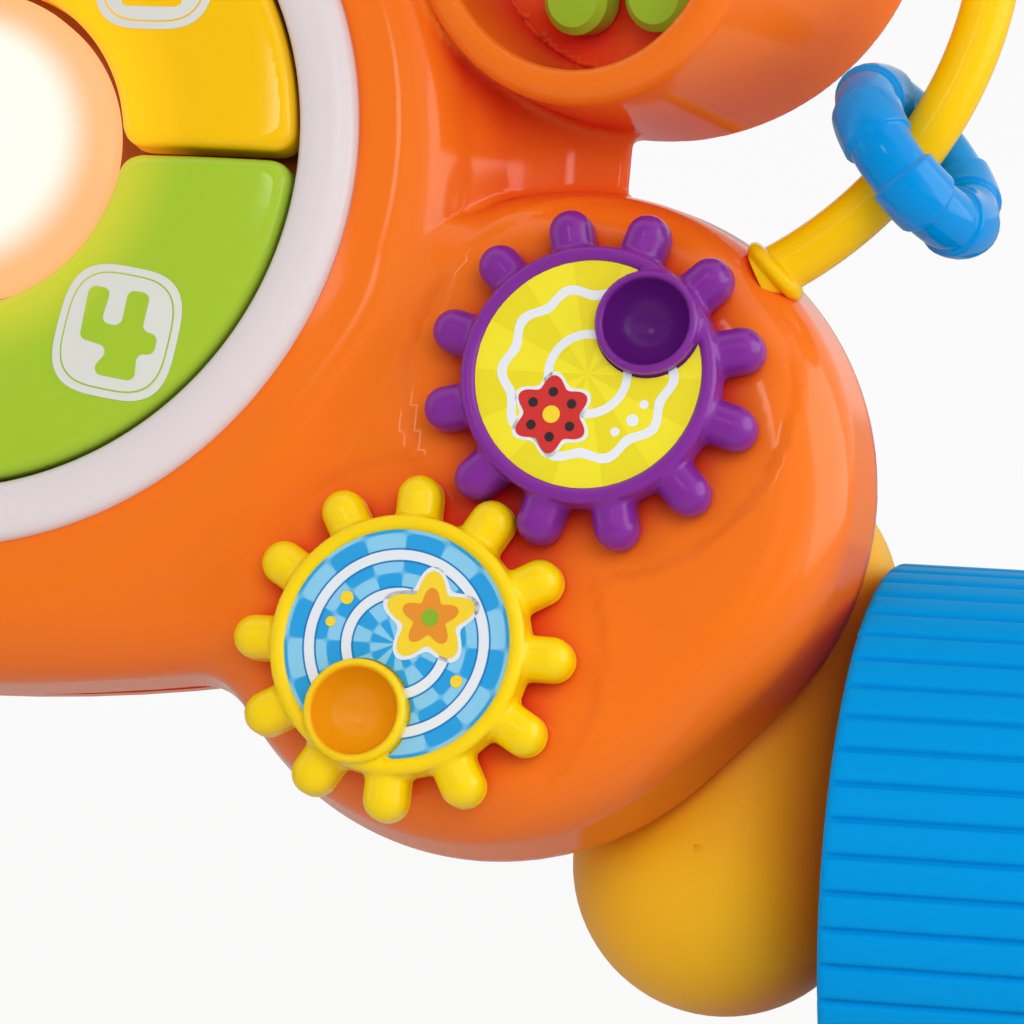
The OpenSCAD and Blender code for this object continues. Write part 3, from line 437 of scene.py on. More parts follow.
def corner(side, top, r):
    """Field inside side < 0 and top < 0 with the edge between them rounded to r."""
    a = side + r
    b = top + r
    return np.hypot(np.maximum(a, 0), np.maximum(b, 0)) + np.minimum(np.maximum(a, b), 0) - r


def gradient(field, points, reach=0.05):
    """Direction in which the field grows at each point."""
    slope = np.empty_like(points)
    for axis in range(3):
        shift = np.zeros(3)
        shift[axis] = reach
        slope[:, axis] = (field(points + shift) - field(points - shift)) / (2 * reach)
    return slope


CORNERS = np.array([(i, j, k) for i in (0, 1) for j in (0, 1) for k in (0, 1)])
EDGES = [(a, b) for a in range(8) for b in range(a + 1, 8) if abs(CORNERS[a] - CORNERS[b]).sum() == 1]


def surface(field, low, high, step):
    """Points, quads and normals of the surface where the field is zero, by a surface net."""
    counts = [int(math.ceil((b - a) / step)) + 1 for a, b in zip(low, high)]
    axes = [a + step * np.arange(n) for a, n in zip(low, counts)]
    value = np.empty(counts)
    for i, x in enumerate(axes[0]):
        y, z = np.meshgrid(axes[1], axes[2], indexing="ij")
        layer = np.stack((np.full(y.shape, x), y, z), -1).reshape(-1, 3)
        value[i] = field(layer).reshape(y.shape)
    inside = value < 0
    nx, ny, nz = (n - 1 for n in counts)
    filled = sum(inside[i:i + nx, j:j + ny, k:k + nz].astype(np.int8) for i, j, k in CORNERS)
    cells = np.argwhere((filled > 0) & (filled < 8))
    index = np.full((nx, ny, nz), -1)
    index[tuple(cells.T)] = np.arange(len(cells))
    held = np.stack([value[tuple((cells + c).T)] for c in CORNERS], -1)
    total = np.zeros((len(cells), 3))
    number = np.zeros(len(cells))
    for a, b in EDGES:
        cut = (held[:, a] < 0) != (held[:, b] < 0)
        part = np.where(cut, held[:, a] / np.where(cut, held[:, a] - held[:, b], 1), 0)
        total += cut[:, None] * (CORNERS[a] + part[:, None] * (CORNERS[b] - CORNERS[a]))
        number += cut
    points = np.array(low) + step * (cells + total / number[:, None])
    for _ in range(2):
        slope = gradient(field, points)
        away = field(points) / np.maximum((slope ** 2).sum(-1), 0.3)
        points -= np.clip(away, -step / 2, step / 2)[:, None] * slope
    quads = []
    for axis in range(3):
        u, v = (axis + 1) % 3, (axis + 2) % 3
        ahead = np.roll(inside, -1, axis)
        crossing = inside != ahead
        crossing[tuple(slice(-1, None) if n == axis else slice(None) for n in range(3))] = False
        places = np.argwhere(crossing)
        places = places[(places[:, u] > 0) & (places[:, v] > 0)]
        places = places[(places[:, u] < counts[u] - 1) & (places[:, v] < counts[v] - 1)]
        du, dv = np.eye(3, dtype=int)[[u, v]]
        quad = np.stack([index[tuple((places - s).T)] for s in (du + dv, dv, 0 * du, du)], -1)
        out = inside[tuple(places.T)]
        quads.append(np.where(out[:, None], quad, quad[:, ::-1]))
    slope = gradient(field, points)
    normals = slope / np.maximum(np.linalg.norm(slope, axis=1), 1e-6)[:, None]
    return points, np.concatenate(quads), normals


def add_mesh(name, points, faces, material, body, place=PANEL, normals=None, slot=None, stands_for=()):
    """New piece from points in millimetres in the frame that place gives."""
    mesh = bpy.data.meshes.new(name)
    mesh.from_pydata((np.asarray(points, float) * MM).tolist(), [], [list(map(int, f)) for f in faces])
    mesh.validate()
    mesh.polygons.foreach_set("use_smooth", np.ones(len(mesh.polygons), bool))
    if normals is not None:
        mesh.normals_split_custom_set_from_vertices(np.asarray(normals).tolist())
    mesh.materials.append(material)
    piece = bpy.data.objects.new(name, mesh)
    bpy.context.scene.collection.objects.link(piece)
    piece.matrix_world = place
    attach(piece, body)
    if stands_for:
        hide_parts(*stands_for)
    return piece


def add_field(name, field, low, high, step, material, body, **more):
    """New piece whose skin is the zero surface of a field."""
    points, quads, normals = surface(field, low, high, step)
    return add_mesh(name, points, quads, material, body, normals=normals, **more)


# Front shell

def cup_frame():
    """Axes of the right upper cup as rows, the last one out of its mouth."""
    turn = Matrix.Rotation(CUP_TILT[0], 3, "X") @ Matrix.Rotation(CUP_TILT[1], 3, "Y")
    return np.array(turn.transposed())


CUP_AXES = cup_frame()


def in_cup(p):
    """Distance from the cup axis and height above the cup foot."""
    q = (p - CUP_FOOT) @ CUP_AXES.T
    return np.hypot(q[:, 0], q[:, 1]), q[:, 2]


def in_lobe(p):
    """Along, across and distance from the core line of the right lobe."""
    dx = p[:, 0] - LOBE[0]
    dy = p[:, 1] - LOBE[1]
    along = dx * math.cos(LOBE_TURN) + dy * math.sin(LOBE_TURN)
    across = dy * math.cos(LOBE_TURN) - dx * math.sin(LOBE_TURN)
    return along, across, np.hypot(np.maximum(np.abs(along) - LOBE_STRETCH, 0), across)


def outer_form(p):
    """Outside of the front shell, the same on both sides."""
    p = p * (1, 1, 1)
    p[:, 0] = np.abs(p[:, 0])
    x, y, z = p.T
    disc = corner(np.hypot(x, y) - BODY_R, z, BODY_EDGE)
    low_arc = np.hypot(x, y - BRIDGE_LOW - BRIDGE_R) - BRIDGE_R
    bridge = corner(np.maximum(low_arc, np.maximum(x - BRIDGE_HALF, y)), z - BRIDGE_Z, BRIDGE_EDGE)
    distance = in_lobe(p)[2]
    side = distance - LOBE_R - LOBE_DRAFT * np.minimum(LOBE_FOOT_Z - z, 0)
    gears = np.minimum(*(np.hypot(x - gx, y - gy) for gx, gy in (GEAR_UPPER, GEAR_LOWER)))
    sunk = RECESS_DEEP * np.clip((RECESS_R - gears) / RECESS_SLOPE + 0.5, 0, 1)
    lobe = corner(side, z - LOBE_TOP + sunk, LOBE_EDGE)
    edge = np.maximum(x - NECK_HALF - NECK_TAPER * np.minimum(z - NECK_Z, 0),
                      np.maximum(NECK_Y[0] - y, y - NECK_Y[1]))
    neck = corner(edge, z - NECK_Z, NECK_EDGE)
    cone = (np.hypot(x, y) - COLLAR_R + COLLAR_SLOPE * (z - COLLAR_Z)) / math.hypot(1, COLLAR_SLOPE)
    collar = smooth_max(cone, np.maximum(edge, z - COLLAR_Z), COLLAR_BLEND)
    across, height = in_cup(p)
    slim = (CUP_FOOT_R - CUP_MOUTH_R - 2 * CUP_LIP) / (CUP_LONG - CUP_LIP)
    cup = corner(across - CUP_FOOT_R + slim * height, height - CUP_LONG, CUP_LIP)
    low = smooth_min(smooth_min(disc, bridge, BRIDGE_BLEND), lobe, LOBE_BLEND)
    high = smooth_min(smooth_min(disc, collar, COLLAR_BLEND), neck, NECK_BLEND)
    high = smooth_min(high, cup, CUP_BLEND)
    crease = smooth_min(lobe, smooth_min(collar, neck, NECK_BLEND), CREASE_BLEND)
    return np.minimum(np.minimum(low, high), crease)


def shell_field(p):
    """Hollow front shell with its openings, softened where pieces go in."""
    x, y, z = p.T
    form = outer_form(p)
    skin = np.maximum(form, -(form + WALL))
    folded = p * (1, 1, 1)
    folded[:, 0] = np.abs(x)
    across, height = in_cup(folded)
    floor = np.maximum(form, np.maximum(CUP_BED - CUP_FLOOR - height, across - CUP_FOOT_R))
    skin = np.minimum(skin, floor)
    mouth = np.maximum(across - CUP_MOUTH_R, CUP_BED - height)
    skin = smooth_max(skin, -mouth, MOUTH_EDGE)
    dial = np.maximum(np.hypot(x, y) - BEZEL_HOLE_R - DIAL_SEAT, -z - 2 * WALL)
    skin = np.maximum(skin, -dial)
    for gx, gy in (GEAR_UPPER, GEAR_LOWER):
        skin = np.maximum(skin, -(np.hypot(x - gx, y - gy) - SHAFT_R - SHAFT_PLAY))
    mirrored = p * (-1, 1, 1)
    along, sideways, _ = in_lobe(mirrored)
    window = np.maximum(np.abs(along) - WINDOW_HALF[0], np.abs(sideways) - WINDOW_HALF[1])
    skin = smooth_max(skin, -np.maximum(window, -z - WINDOW_DEEP), WINDOW_EDGE)
    return smooth_max(skin, -z - SHELL_DEPTH, BACK_EDGE)


add_field("shell_skin", shell_field, SHELL_LOW, SHELL_HIGH, SHELL_STEP, ORANGE, "frame",
          slot="orange_shell", stands_for=("front_shell",))


# Dial

def loops(rows, columns, closed=True):
    """Quads between neighbouring rows of points, each row being a closed loop."""
    quads = []
    for i in range(rows if closed else rows - 1):
        a, b = i * columns, (i + 1) % rows * columns
        for j in range(columns):
            k = (j + 1) % columns
            quads.append((a + j, b + j, b + k, a + k))
    return quads


def lathe(profile, steps):
    """Points and quads of a closed profile of (radius, height) turned round the z axis."""
    angle = np.arange(steps) * 2 * math.pi / steps
    points = [(r * math.cos(a), r * math.sin(a), h) for a in angle for r, h in profile]
    return points, loops(steps, len(profile))


def add_bezel():
    """White ring with a crest nearer its outer side."""
    lip = BEZEL_HOLE_R + BEZEL_LIP
    profile = [(BEZEL_HOLE_R, -WALL), (lip, -WALL), (lip, 0), (BEZEL_R - BEZEL_SINK, 0)]
    for k in range(17):
        turn = math.pi * k / 16
        reach = BEZEL_R - BEZEL_CREST_R if turn < math.pi / 2 else BEZEL_CREST_R - BEZEL_HOLE_R
        across = math.copysign(abs(math.cos(turn)) ** 0.7, math.cos(turn))
        rise = (BEZEL_HIGH - BEZEL_SINK) * math.sin(turn) ** 0.7
        profile.append((BEZEL_CREST_R + reach * across, BEZEL_SINK + rise))
    points, quads = lathe(profile, 180)
    add_mesh("bezel_ring", points, quads, WHITE, "frame", slot="white_plastic",
             stands_for=("dial_bezel",))


def add_dome():
    """Round cap of the lamp in the middle of the keys."""
    ball = (DOME_R ** 2 + DOME_RISE ** 2) / (2 * DOME_RISE)
    profile = [(0.01, -WALL), (DOME_R, -WALL)]
    for k in range(25):
        r = DOME_R * math.cos(math.pi / 2 * k / 24)
        profile.append((max(r, 0.01), DOME_RISE - ball + math.sqrt(ball ** 2 - r ** 2)))
    points, quads = lathe(profile, 120)
    add_mesh("dome_cap", points, quads, DOME, "frame", slot="glow_dome", stands_for=("light_dome",))


KEY_MID_R = (KEY_IN_R + KEY_OUT_R) / 2
KEY_CROWN = 1.1
KEY_CORNER = 5
KEY_EDGE = 2.6
KEY_STEP = 0.9
PIN_R = 3.3
PIN_TOP = -2


def key_top(x, y):
    """Height of the crowned key face."""
    across = (np.hypot(x, y) - KEY_MID_R) / (KEY_OUT_R - KEY_MID_R)
    return KEY_TOP + KEY_CROWN * (1 - across ** 2)


def key_field(turn):
    """Field of the quarter key that starts at the given angle."""
    c, s = math.cos(turn), math.sin(turn)

    def field(p):
        x = c * p[:, 0] + s * p[:, 1]
        y = c * p[:, 1] - s * p[:, 0]
        z = p[:, 2]
        r = np.hypot(x, y)
        ring = np.maximum(r - KEY_OUT_R, KEY_IN_R - r)
        plan = smooth_max(ring, np.maximum(KEY_GAP / 2 - x, KEY_GAP / 2 - y), KEY_CORNER)
        body = corner(plan, z - key_top(x, y), KEY_EDGE)
        body = np.maximum(body, KEY_BASE - z)
        pin = np.hypot(x - KEY_MID_R * math.sqrt(0.5), y - KEY_MID_R * math.sqrt(0.5)) - PIN_R
        return np.maximum(body, -np.maximum(pin, z - PIN_TOP))

    return field


def round_corners(points, radius, steps=6):
    """Closed outline with each corner replaced by an arc."""
    outline = []
    n = len(points)
    for k in range(n):
        here = Vector(points[k])
        before = (Vector(points[k - 1]) - here)
        after = (Vector(points[(k + 1) % n]) - here)
        half = before.angle(after) / 2
        r = min(radius, 0.48 * min(before.length, after.length) * math.tan(half))
        reach = r / math.tan(half)
        centre = here + (before.normalized() + after.normalized()).normalized() * (r / math.sin(half))
        first = here + before.normalized() * reach - centre
        last = here + after.normalized() * reach - centre
        sweep = math.atan2(first.x * last.y - first.y * last.x, first.dot(last))
        for i in range(steps + 1):
            a = sweep * i / steps
            outline.append((centre.x + first.x * math.cos(a) - first.y * math.sin(a),
                            centre.y + first.x * math.sin(a) + first.y * math.cos(a)))
    return outline


def inside_outline(points, outline):
    """Which points lie inside a closed outline."""
    hits = np.zeros(len(points), bool)
    ends = np.array(outline)
    for (ax, ay), (bx, by) in zip(ends, np.roll(ends, -1, 0)):
        span = (ay > points[:, 1]) != (by > points[:, 1])
        rise = by - ay if by != ay else 1e-9
        hits ^= span & (points[:, 0] < (bx - ax) * (points[:, 1] - ay) / rise + ax)
    return hits


def add_decal(name, outline, height, material, body, place=PANEL, slot=None, pitch=1.6, thick=0.12):
    """Thin printed patch whose face follows height(x, y)."""
    rim = np.array(outline, float)
    low, high = rim.min(0), rim.max(0)
    grid = np.stack(np.meshgrid(*[np.arange(a, b, pitch) for a, b in zip(low, high)]), -1).reshape(-1, 2)
    gap = np.linalg.norm(grid[:, None] - rim[None], axis=2).min(1)
    grid = grid[inside_outline(grid, outline) & (gap > pitch * 0.5)]
    flat = np.concatenate((rim, grid))
    loop = [(k, (k + 1) % len(rim)) for k in range(len(rim))]
    result = delaunay_2d_cdt([Vector(v) for v in flat], loop, [list(range(len(rim)))], 1, 1e-4)
    spots, faces = np.array([tuple(v) for v in result[0]]), result[2]
    z = height(spots[:, 0], spots[:, 1])
    points = np.column_stack((spots, z + thick))
    return add_mesh(name, points, faces, material, body, place=place, slot=slot)


BADGE_OUT = 52.5
BADGE_HALF = (12.4, 13.2)
BADGE_LIFT = 0.05
BADGE_SQUARE = 0.62
BADGE_LINE = 1.5
BADGE_FIELD = 1.8
DIGIT_CORNER = 1.5
DIGITS = {
    1: [(-4.6, 5.2), (0.2, 8.6), (2.6, 8.6), (2.6, -4.4), (5.4, -4.4), (5.4, -8.6), (-5.2, -8.6),
        (-5.2, -4.4), (-2.2, -4.4), (-2.2, 2.2), (-4.6, 1.6)],
    2: [(-6.2, 8.6), (6, 8.6), (6, -1.6), (-1.4, -4.4), (6.2, -4.4), (6.2, -8.6), (-6.4, -8.6),
        (-6.4, -1.6), (1.4, 2.2), (1.4, 4.6), (-6.2, 4.6)],
    3: [(-6, 8.6), (6.2, 8.6), (6.2, 1.8), (4.4, 0.2), (6.2, -1.6), (6.2, -8.6), (-6, -8.6), (-6, -4.6),
        (1.6, -4.6), (1.6, -1.8), (-3.4, -1.8), (-3.4, 2), (1.6, 2), (1.6, 4.6), (-6, 4.6)],
    4: [(-7.8, 8.2), (-3.2, 8.2), (-3.6, 1.2), (0.6, 1.2), (0.4, 8.6), (5, 8.6), (5, 1.2), (8.4, 0.8),
        (8.4, -3.2), (5, -3.4), (5.8, -9), (-3.8, -9), (-0.4, -3.4), (-7.2, -2.6)],
}


def add_key(number, start, material, tilt, slot):
    """Key with its badge and numeral. The key spans the quarter turn from start."""
    body = f"key_{number}"
    turn = math.radians(start)
    middle = turn + math.pi / 4
    toward = np.array((math.cos(middle), math.sin(middle)))
    low = np.where(toward > 0, -1, -KEY_OUT_R - 1)
    high = np.where(toward > 0, KEY_OUT_R + 1, 1)
    bottom = (*low, KEY_BASE - 0.7)
    top = (*high, KEY_TOP + KEY_CROWN + KEY_STEP)
    add_field(f"key_cap_{number}", key_field(turn), bottom, top, KEY_STEP, material, body, slot=slot,
              stands_for=(body,))
    centre = toward * BADGE_OUT
    c, s = math.cos(math.radians(tilt)), math.sin(math.radians(tilt))

    def placed(outline):
        return [(centre[0] + c * x - s * y, centre[1] + s * x + c * y) for x, y in outline]

    def squircle(grow):
        angles = np.arange(48) * 2 * math.pi / 48
        a, b = BADGE_HALF[0] + grow, BADGE_HALF[1] + grow
        return [(a * math.copysign(abs(math.cos(t)) ** BADGE_SQUARE, math.cos(t)),
                 b * math.copysign(abs(math.sin(t)) ** BADGE_SQUARE, math.sin(t))) for t in angles]

    def lifted(steps):
        return lambda x, y: key_top(x, y) + BADGE_LIFT * steps

    add_decal(f"badge_{number}", placed(squircle(0)), lifted(0), PALE, body, slot=slot)
    add_decal(f"badge_line_{number}", placed(squircle(-BADGE_LINE)), lifted(1), material, body, slot=slot)
    add_decal(f"badge_field_{number}", placed(squircle(-BADGE_FIELD)), lifted(2), PALE, body, slot=slot)
    shape = placed(round_corners(DIGITS[number], DIGIT_CORNER))
    add_decal(f"numeral_{number}", shape, lifted(3), material, body, slot=slot)


add_bezel()
add_dome()
add_key(1, 90, PURPLE_KEY, 0, "purple_plastic")
add_key(2, 0, YELLOW_KEY, 0, "yellow_plastic")
add_key(3, 180, BLUE_KEY, 0, "blue_plastic")
add_key(4, 270, GREEN_KEY, -8, "green_plastic")


# Gears

def gear_field(first_tooth, finger):
    """Field of a gear with round teeth and a finger cup, at the origin."""
    pitch = 2 * math.pi / TEETH
    cup_x, cup_y = FINGER_OUT * math.cos(finger), FINGER_OUT * math.sin(finger)

    def field(p):
        x, y, z = p.T
        r = np.hypot(x, y)
        disc = corner(r - GEAR_RIM_R + 0.5, z - LABEL_Z + LABEL_SINK, 0.5)
        off_bead = np.maximum(np.abs(z - RIM_BEAD_Z) - RIM_BEAD_HALF, 0)
        bead = np.hypot(r - GEAR_RIM_R + 1.5, off_bead) - RIM_BEAD_R
        turn = np.arctan2(y, x) - first_tooth
        turn -= pitch * np.round(turn / pitch)
        out = r * np.cos(turn) - GEAR_TIP_R + TOOTH_R
        side = r * np.sin(turn)
        tooth = np.sqrt(np.maximum(out, 0) ** 2 + side ** 2 + np.maximum(z - TOOTH_Z, 0) ** 2) - TOOTH_R
        tooth = np.maximum(tooth, GEAR_RIM_R - TOOTH_ROOT - r)
        form = smooth_min(smooth_min(disc, bead, 0.5), tooth, TOOTH_BLEND)
        cup_r = np.hypot(x - cup_x, y - cup_y)
        cup = corner(cup_r - FINGER_R, z - FINGER_TOP, FINGER_EDGE)
        form = smooth_min(form, cup, 0.9)
        bowl = np.sqrt(cup_r ** 2 + (z - FINGER_TOP) ** 2) - FINGER_R + FINGER_WALL
        form = smooth_max(form, -bowl, 1)
        form = smooth_max(form, GEAR_BACK - z, 0.8)
        shaft = np.maximum(r - SHAFT_R, np.abs(z - SHAFT_END - SHAFT_LONG / 2) - SHAFT_LONG / 2)
        return np.minimum(form, shaft)

    return field


def at_gear(centre):
    """Frame on the panel with its origin on the axis of a gear."""
    return PANEL @ Matrix.Translation(Vector((*centre, 0)) * MM)


def label_outline(finger):
    """Round label with a bite where the finger cup stands."""
    cup = (FINGER_OUT * math.cos(finger), FINGER_OUT * math.sin(finger))
    bite = FINGER_R + 0.4
    reach = (FINGER_OUT ** 2 + LABEL_R ** 2 - bite ** 2) / (2 * FINGER_OUT * LABEL_R)
    half = math.acos(reach)
    outer = np.linspace(finger + half, finger + 2 * math.pi - half, 96)
    outline = [(LABEL_R * math.cos(a), LABEL_R * math.sin(a)) for a in outer]
    start = math.atan2(outline[-1][1] - cup[1], outline[-1][0] - cup[0])
    end = math.atan2(outline[0][1] - cup[1], outline[0][0] - cup[0])
    sweep = (end - start) % (2 * math.pi) - 2 * math.pi
    inner = [start + sweep * k / 40 for k in range(1, 40)]
    return outline + [(cup[0] + bite * math.cos(a), cup[1] + bite * math.sin(a)) for a in inner]


def add_gear(body, centre, first_tooth, finger, material, label, slot, label_slot):
    """Gear with its label. The first tooth points to the given angle in degrees."""
    place = at_gear(centre)
    reach = GEAR_TIP_R + 1
    add_field(f"{body}_wheel", gear_field(math.radians(first_tooth), finger),
              (-reach, -reach, SHAFT_END - 1), (reach, reach, FINGER_TOP + 1), GEAR_STEP, material, body,
              place=place, slot=slot, stands_for=(body,))
    piece = add_decal(f"{body}_print", label_outline(finger), lambda x, y: 0 * x + LABEL_Z, label, body,
                      place=place, slot=label_slot, thick=0.05)
    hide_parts(f"{body}_label")


def circle(size):
    """Round outline."""
    return lambda a: size


def petals(size, count, depth):
    """Soft flower or star outline."""
    return lambda a: size * (1 + depth * math.cos(count * (a - math.pi / 2)))


def patch(centre, outer, inner=circle(0)):
    """Printed shape between two outlines, each given as a radius for an angle."""
    return centre, inner, outer


def band(size, wide, waves=0, depth=0):
    """Printed ring round the middle of the label."""
    return patch((0, 0), lambda a: size + wide / 2 + depth * math.cos(waves * a),
                 lambda a: size - wide / 2 + depth * math.cos(waves * a))


def add_print(name, shapes, layer, material, body, centre, finger, slot):
    """Printed shapes of one colour on a gear label, left out under the finger cup."""
    steps = 144
    cup = Vector((FINGER_OUT * math.cos(finger), FINGER_OUT * math.sin(finger)))
    height = LABEL_Z + PRINT_STEP * (layer + 1)
    points, faces = [], []
    for (x, y), inner, outer in shapes:
        first = len(points)
        for k in range(steps):
            a = 2 * math.pi * k / steps
            for r in (inner(a), outer(a)):
                points.append((x + r * math.cos(a), y + r * math.sin(a), height))
        for k in range(steps):
            n = (k + 1) % steps
            quad = [first + i for i in (2 * k, 2 * k + 1, 2 * n + 1, 2 * n)]
            middle = sum((Vector(points[i][:2]) for i in quad), Vector((0, 0))) / 4
            if (middle - cup).length > FINGER_R - 0.6:
                faces.append(quad)
    add_mesh(name, points, faces, material, body, place=at_gear(centre), slot=slot)


def add_upper_print():
    """Red flower and white rings."""
    flower = (-6.4, -8.2)
    white = [band(16.2, 1.9, 10, 0.8), band(7.8, 1.7), patch(flower, petals(7.4, 6, 0.14))]
    white += [patch((9.6, -8.6), circle(1.2)), patch((11.6, -5.4), circle(0.9)),
              patch((6.4, -11), circle(0.9))]
    red = [patch(flower, petals(6.6, 6, 0.16))]
    dots = []
    for k in range(6):
        a = math.radians(60 * k + 30)
        dots.append(patch((flower[0] + 4.4 * math.cos(a), flower[1] + 4.4 * math.sin(a)), circle(0.95)))
    heart = [patch(flower, circle(1.7))]
    inks = ((white, PRINT_WHITE), (red, PRINT_RED), (dots, PRINT_DARK), (heart, PRINT_YELLOW))
    for layer, (shapes, ink) in enumerate(inks):
        add_print(f"upper_print_{layer}", shapes, layer, ink, "gear_upper", GEAR_UPPER, UPPER_FINGER,
                  "yellow_label")


def add_lower_print():
    """Yellow star and white rings."""
    star = (6.2, 5.4)
    lines = [band(size, 0.3) for size in (8.7, 11.1, 16.1, 18.5)]
    white = [band(9.9, 1.9), band(17.3, 1.9), patch(star, petals(8.3, 5, 0.2))]
    yellow = [patch(star, petals(7.3, 5, 0.24)), patch((-10.6, 8.4), circle(1.3)),
              patch((-13.4, 3.6), circle(1)), patch((12.6, -6.6), circle(1.2))]
    orange = [patch(star, petals(4.6, 5, 0.26))]
    heart = [patch(star, circle(1.7))]
    inks = ((lines, PRINT_BLUE), (white, PRINT_WHITE), (yellow, PRINT_YELLOW), (orange, PRINT_ORANGE),
            (heart, PRINT_GREEN))
    for layer, (shapes, ink) in enumerate(inks):
        add_print(f"lower_print_{layer}", shapes, layer, ink, "gear_lower", GEAR_LOWER, LOWER_FINGER,
                  "blue_label")


add_gear("gear_upper", GEAR_UPPER, GEAR_LINE + 180 + 180 / TEETH, UPPER_FINGER, PURPLE_GEAR, LABEL_YELLOW,
         "purple_plastic", "yellow_label")
add_upper_print()
add_gear("gear_lower", GEAR_LOWER, GEAR_LINE, LOWER_FINGER, YELLOW_GEAR, LABEL_BLUE, "yellow_plastic",
         "blue_label")
add_lower_print()


# Arches and their rings

def add_arch(name, mirrored):
    """Bent tube with a round bead and a sleeve where it enters the shell."""
    around = 28
    bulge = np.linspace(-1, 1, 45) * (BEAD_HALF + BEAD_LEAN) / ARCH_R
    angles = np.sort(np.concatenate((np.linspace(*ARCH_SPAN, 160), *(bead + bulge for bead in BEADS))))
    points = []
    for a in angles:
        for j in range(around):
            b = 2 * math.pi * j / around
            r = TUBE_R
            for bead, outside in zip(BEADS, (-1, 1)):
                away = (a - bead) * ARCH_R * outside + BEAD_LEAN * math.cos(b)
                if away > 0:
                    r = max(r, TUBE_R + SLEEVE)
                if abs(away) < BEAD_HALF:
                    r = max(r, TUBE_R + BEAD_HIGH * math.sqrt(1 - (away / BEAD_HALF) ** 2))
            if a in (angles[0], angles[-1]):
                r = 0.01
            reach = ARCH_R + r * math.cos(b)
            points.append((reach * math.cos(a), reach * math.sin(a), r * math.sin(b)))
    points = np.array(points) + ARCH
    quads = loops(len(angles), around, closed=False)
    if mirrored:
        points[:, 0] *= -1
        quads = [q[::-1] for q in quads]
    add_mesh(f"{name}_tube", points, quads, TUBE, "frame", slot="yellow_plastic", stands_for=(name,))


add_arch("arch_right", False)
add_arch("arch_left", True)


def add_ring(name, material, slot, mirrored):
    """Ring of alternating thick and thin lengths."""
    steps, around = 480, 28
    points = []
    for i in range(steps):
        a = 2 * math.pi * i / steps
        part = ((a - RING_TURN) * SEGMENTS / (2 * math.pi)) % 1
        edge = min(part, 0.5 - part) if part < 0.5 else -min(part - 0.5, 1 - part)
        thick = RING_T + RING_STEP * min(1, max(0, 0.5 + edge * SEGMENT_SLOPE))
        for j in range(around):
            b = 2 * math.pi * j / around
            r = RING_R + thick * math.cos(b)
            points.append((r * math.cos(a), r * math.sin(a), thick * math.sin(b)))
    quads = loops(steps, around)
    place = (Matrix.Translation(Vector(ARCH) * MM) @ Matrix.Rotation(RING_REST, 4, "Z")
             @ Matrix.Translation((ARCH_R * MM, 0, 0)) @ Matrix.Rotation(-RING_SWING, 4, "Z")
             @ Matrix.Translation((RING_OUT * MM, 0, 0))
             @ Matrix.Rotation(math.pi / 2 + RING_TILT, 4, "X"))
    spots = np.array([tuple(PANEL @ place @ (Vector(p) * MM) / MM) for p in points])
    if mirrored:
        spots[:, 0] *= -1
        quads = [q[::-1] for q in quads]
    add_mesh(f"{name}_links", spots, quads, material, name, place=Matrix.Identity(4), slot=slot,
             stands_for=(name,))


add_ring("ring_right", BLUE, "blue_plastic", False)
add_ring("ring_left", GREEN, "green_plastic", True)


# Wheels

# Share of the tread pitch and depth of the groove there
TREAD_STEPS = ((0, 1), (0.04, 0.8), (0.08, 0.36), (0.13, 0.12), (0.21, 0.03), (0.35, 0), (0.65, 0),
               (0.79, 0.03), (0.87, 0.12), (0.92, 0.36), (0.96, 0.8))


def add_wheel(name, side, ahead):
    """Wheel with a ribbed tread, rounded shoulders and dished faces."""
    half = WHEEL_WIDE / 2
    inset = WHEEL_R - SHOULDER
    rim = WHEEL_R - FACE_RIM
    inner_face = -half + FACE_SINK
    section = [(HUB_R, inner_face, 0), (rim - 1, inner_face, 0), (rim, -half, 0), (inset, -half, 0)]
    for k in range(1, 7):
        a = math.pi / 2 * k / 6
        section.append((inset + SHOULDER * math.sin(a), -half + SHOULDER - SHOULDER * math.cos(a), k / 6))
    section += [(WHEEL_R, x, 1) for x in np.linspace(-half + SHOULDER + 3, half - SHOULDER - 3, 8)]
    for k in range(6, 0, -1):
        a = math.pi / 2 * k / 6
        section.append((inset + SHOULDER * math.sin(a), half - SHOULDER + SHOULDER * math.cos(a), k / 6))
    section += [(inset, half, 0), (rim, half, 0), (rim - 1, half - 1, 0), (rim - 3, half - DISH, 0),
                (HUB_R, half - DISH - FACE_SINK, 0)]
    points = []
    for k in range(TREADS):
        for phase, depth in TREAD_STEPS:
            a = 2 * math.pi * (k + phase) / TREADS
            for r, x, weight in section:
                tread = r - GROOVE * weight * depth
                points.append((x * side, tread * math.cos(a), tread * math.sin(a)))
    quads = loops(TREADS * len(TREAD_STEPS), len(section))
    if side > 0:
        quads = [q[::-1] for q in quads]
    middle = Vector((side * (WHEEL_INNER + half), ahead, WHEEL_R)) * MM
    add_mesh(f"{name}_tyre", points, quads, TYRE, name, place=Matrix.Translation(middle),
             slot="blue_plastic", stands_for=(name,))


for end_name, wheel_y in (("front", -AXLE_Y), ("rear", AXLE_Y)):
    for side_name, wheel_side in (("right", 1), ("left", -1)):
        add_wheel(f"wheel_{end_name}_{side_name}", wheel_side, wheel_y)


# Camera at the photograph's viewing angle, and light

FOCUS = Vector((0.118918, -0.162094, 0.141745))
CAMERA_AT = Vector((0.42505, -1.34583, 0.40164))
WORLD_LEVEL = 0.44
DIM_TOWARD = (-0.12, -0.94, 0.32)
DIM_EDGE = (0.38, 0.78)
DIM_LEVEL = 0.08
FLOOR_DIM_Y = (-0.45, -0.2)
FLOOR_DIM = (0.15, 0.45)
FLOOR_WHITE = 0.92
FOCAL_PX = 6500
IMAGE_PX = 1024


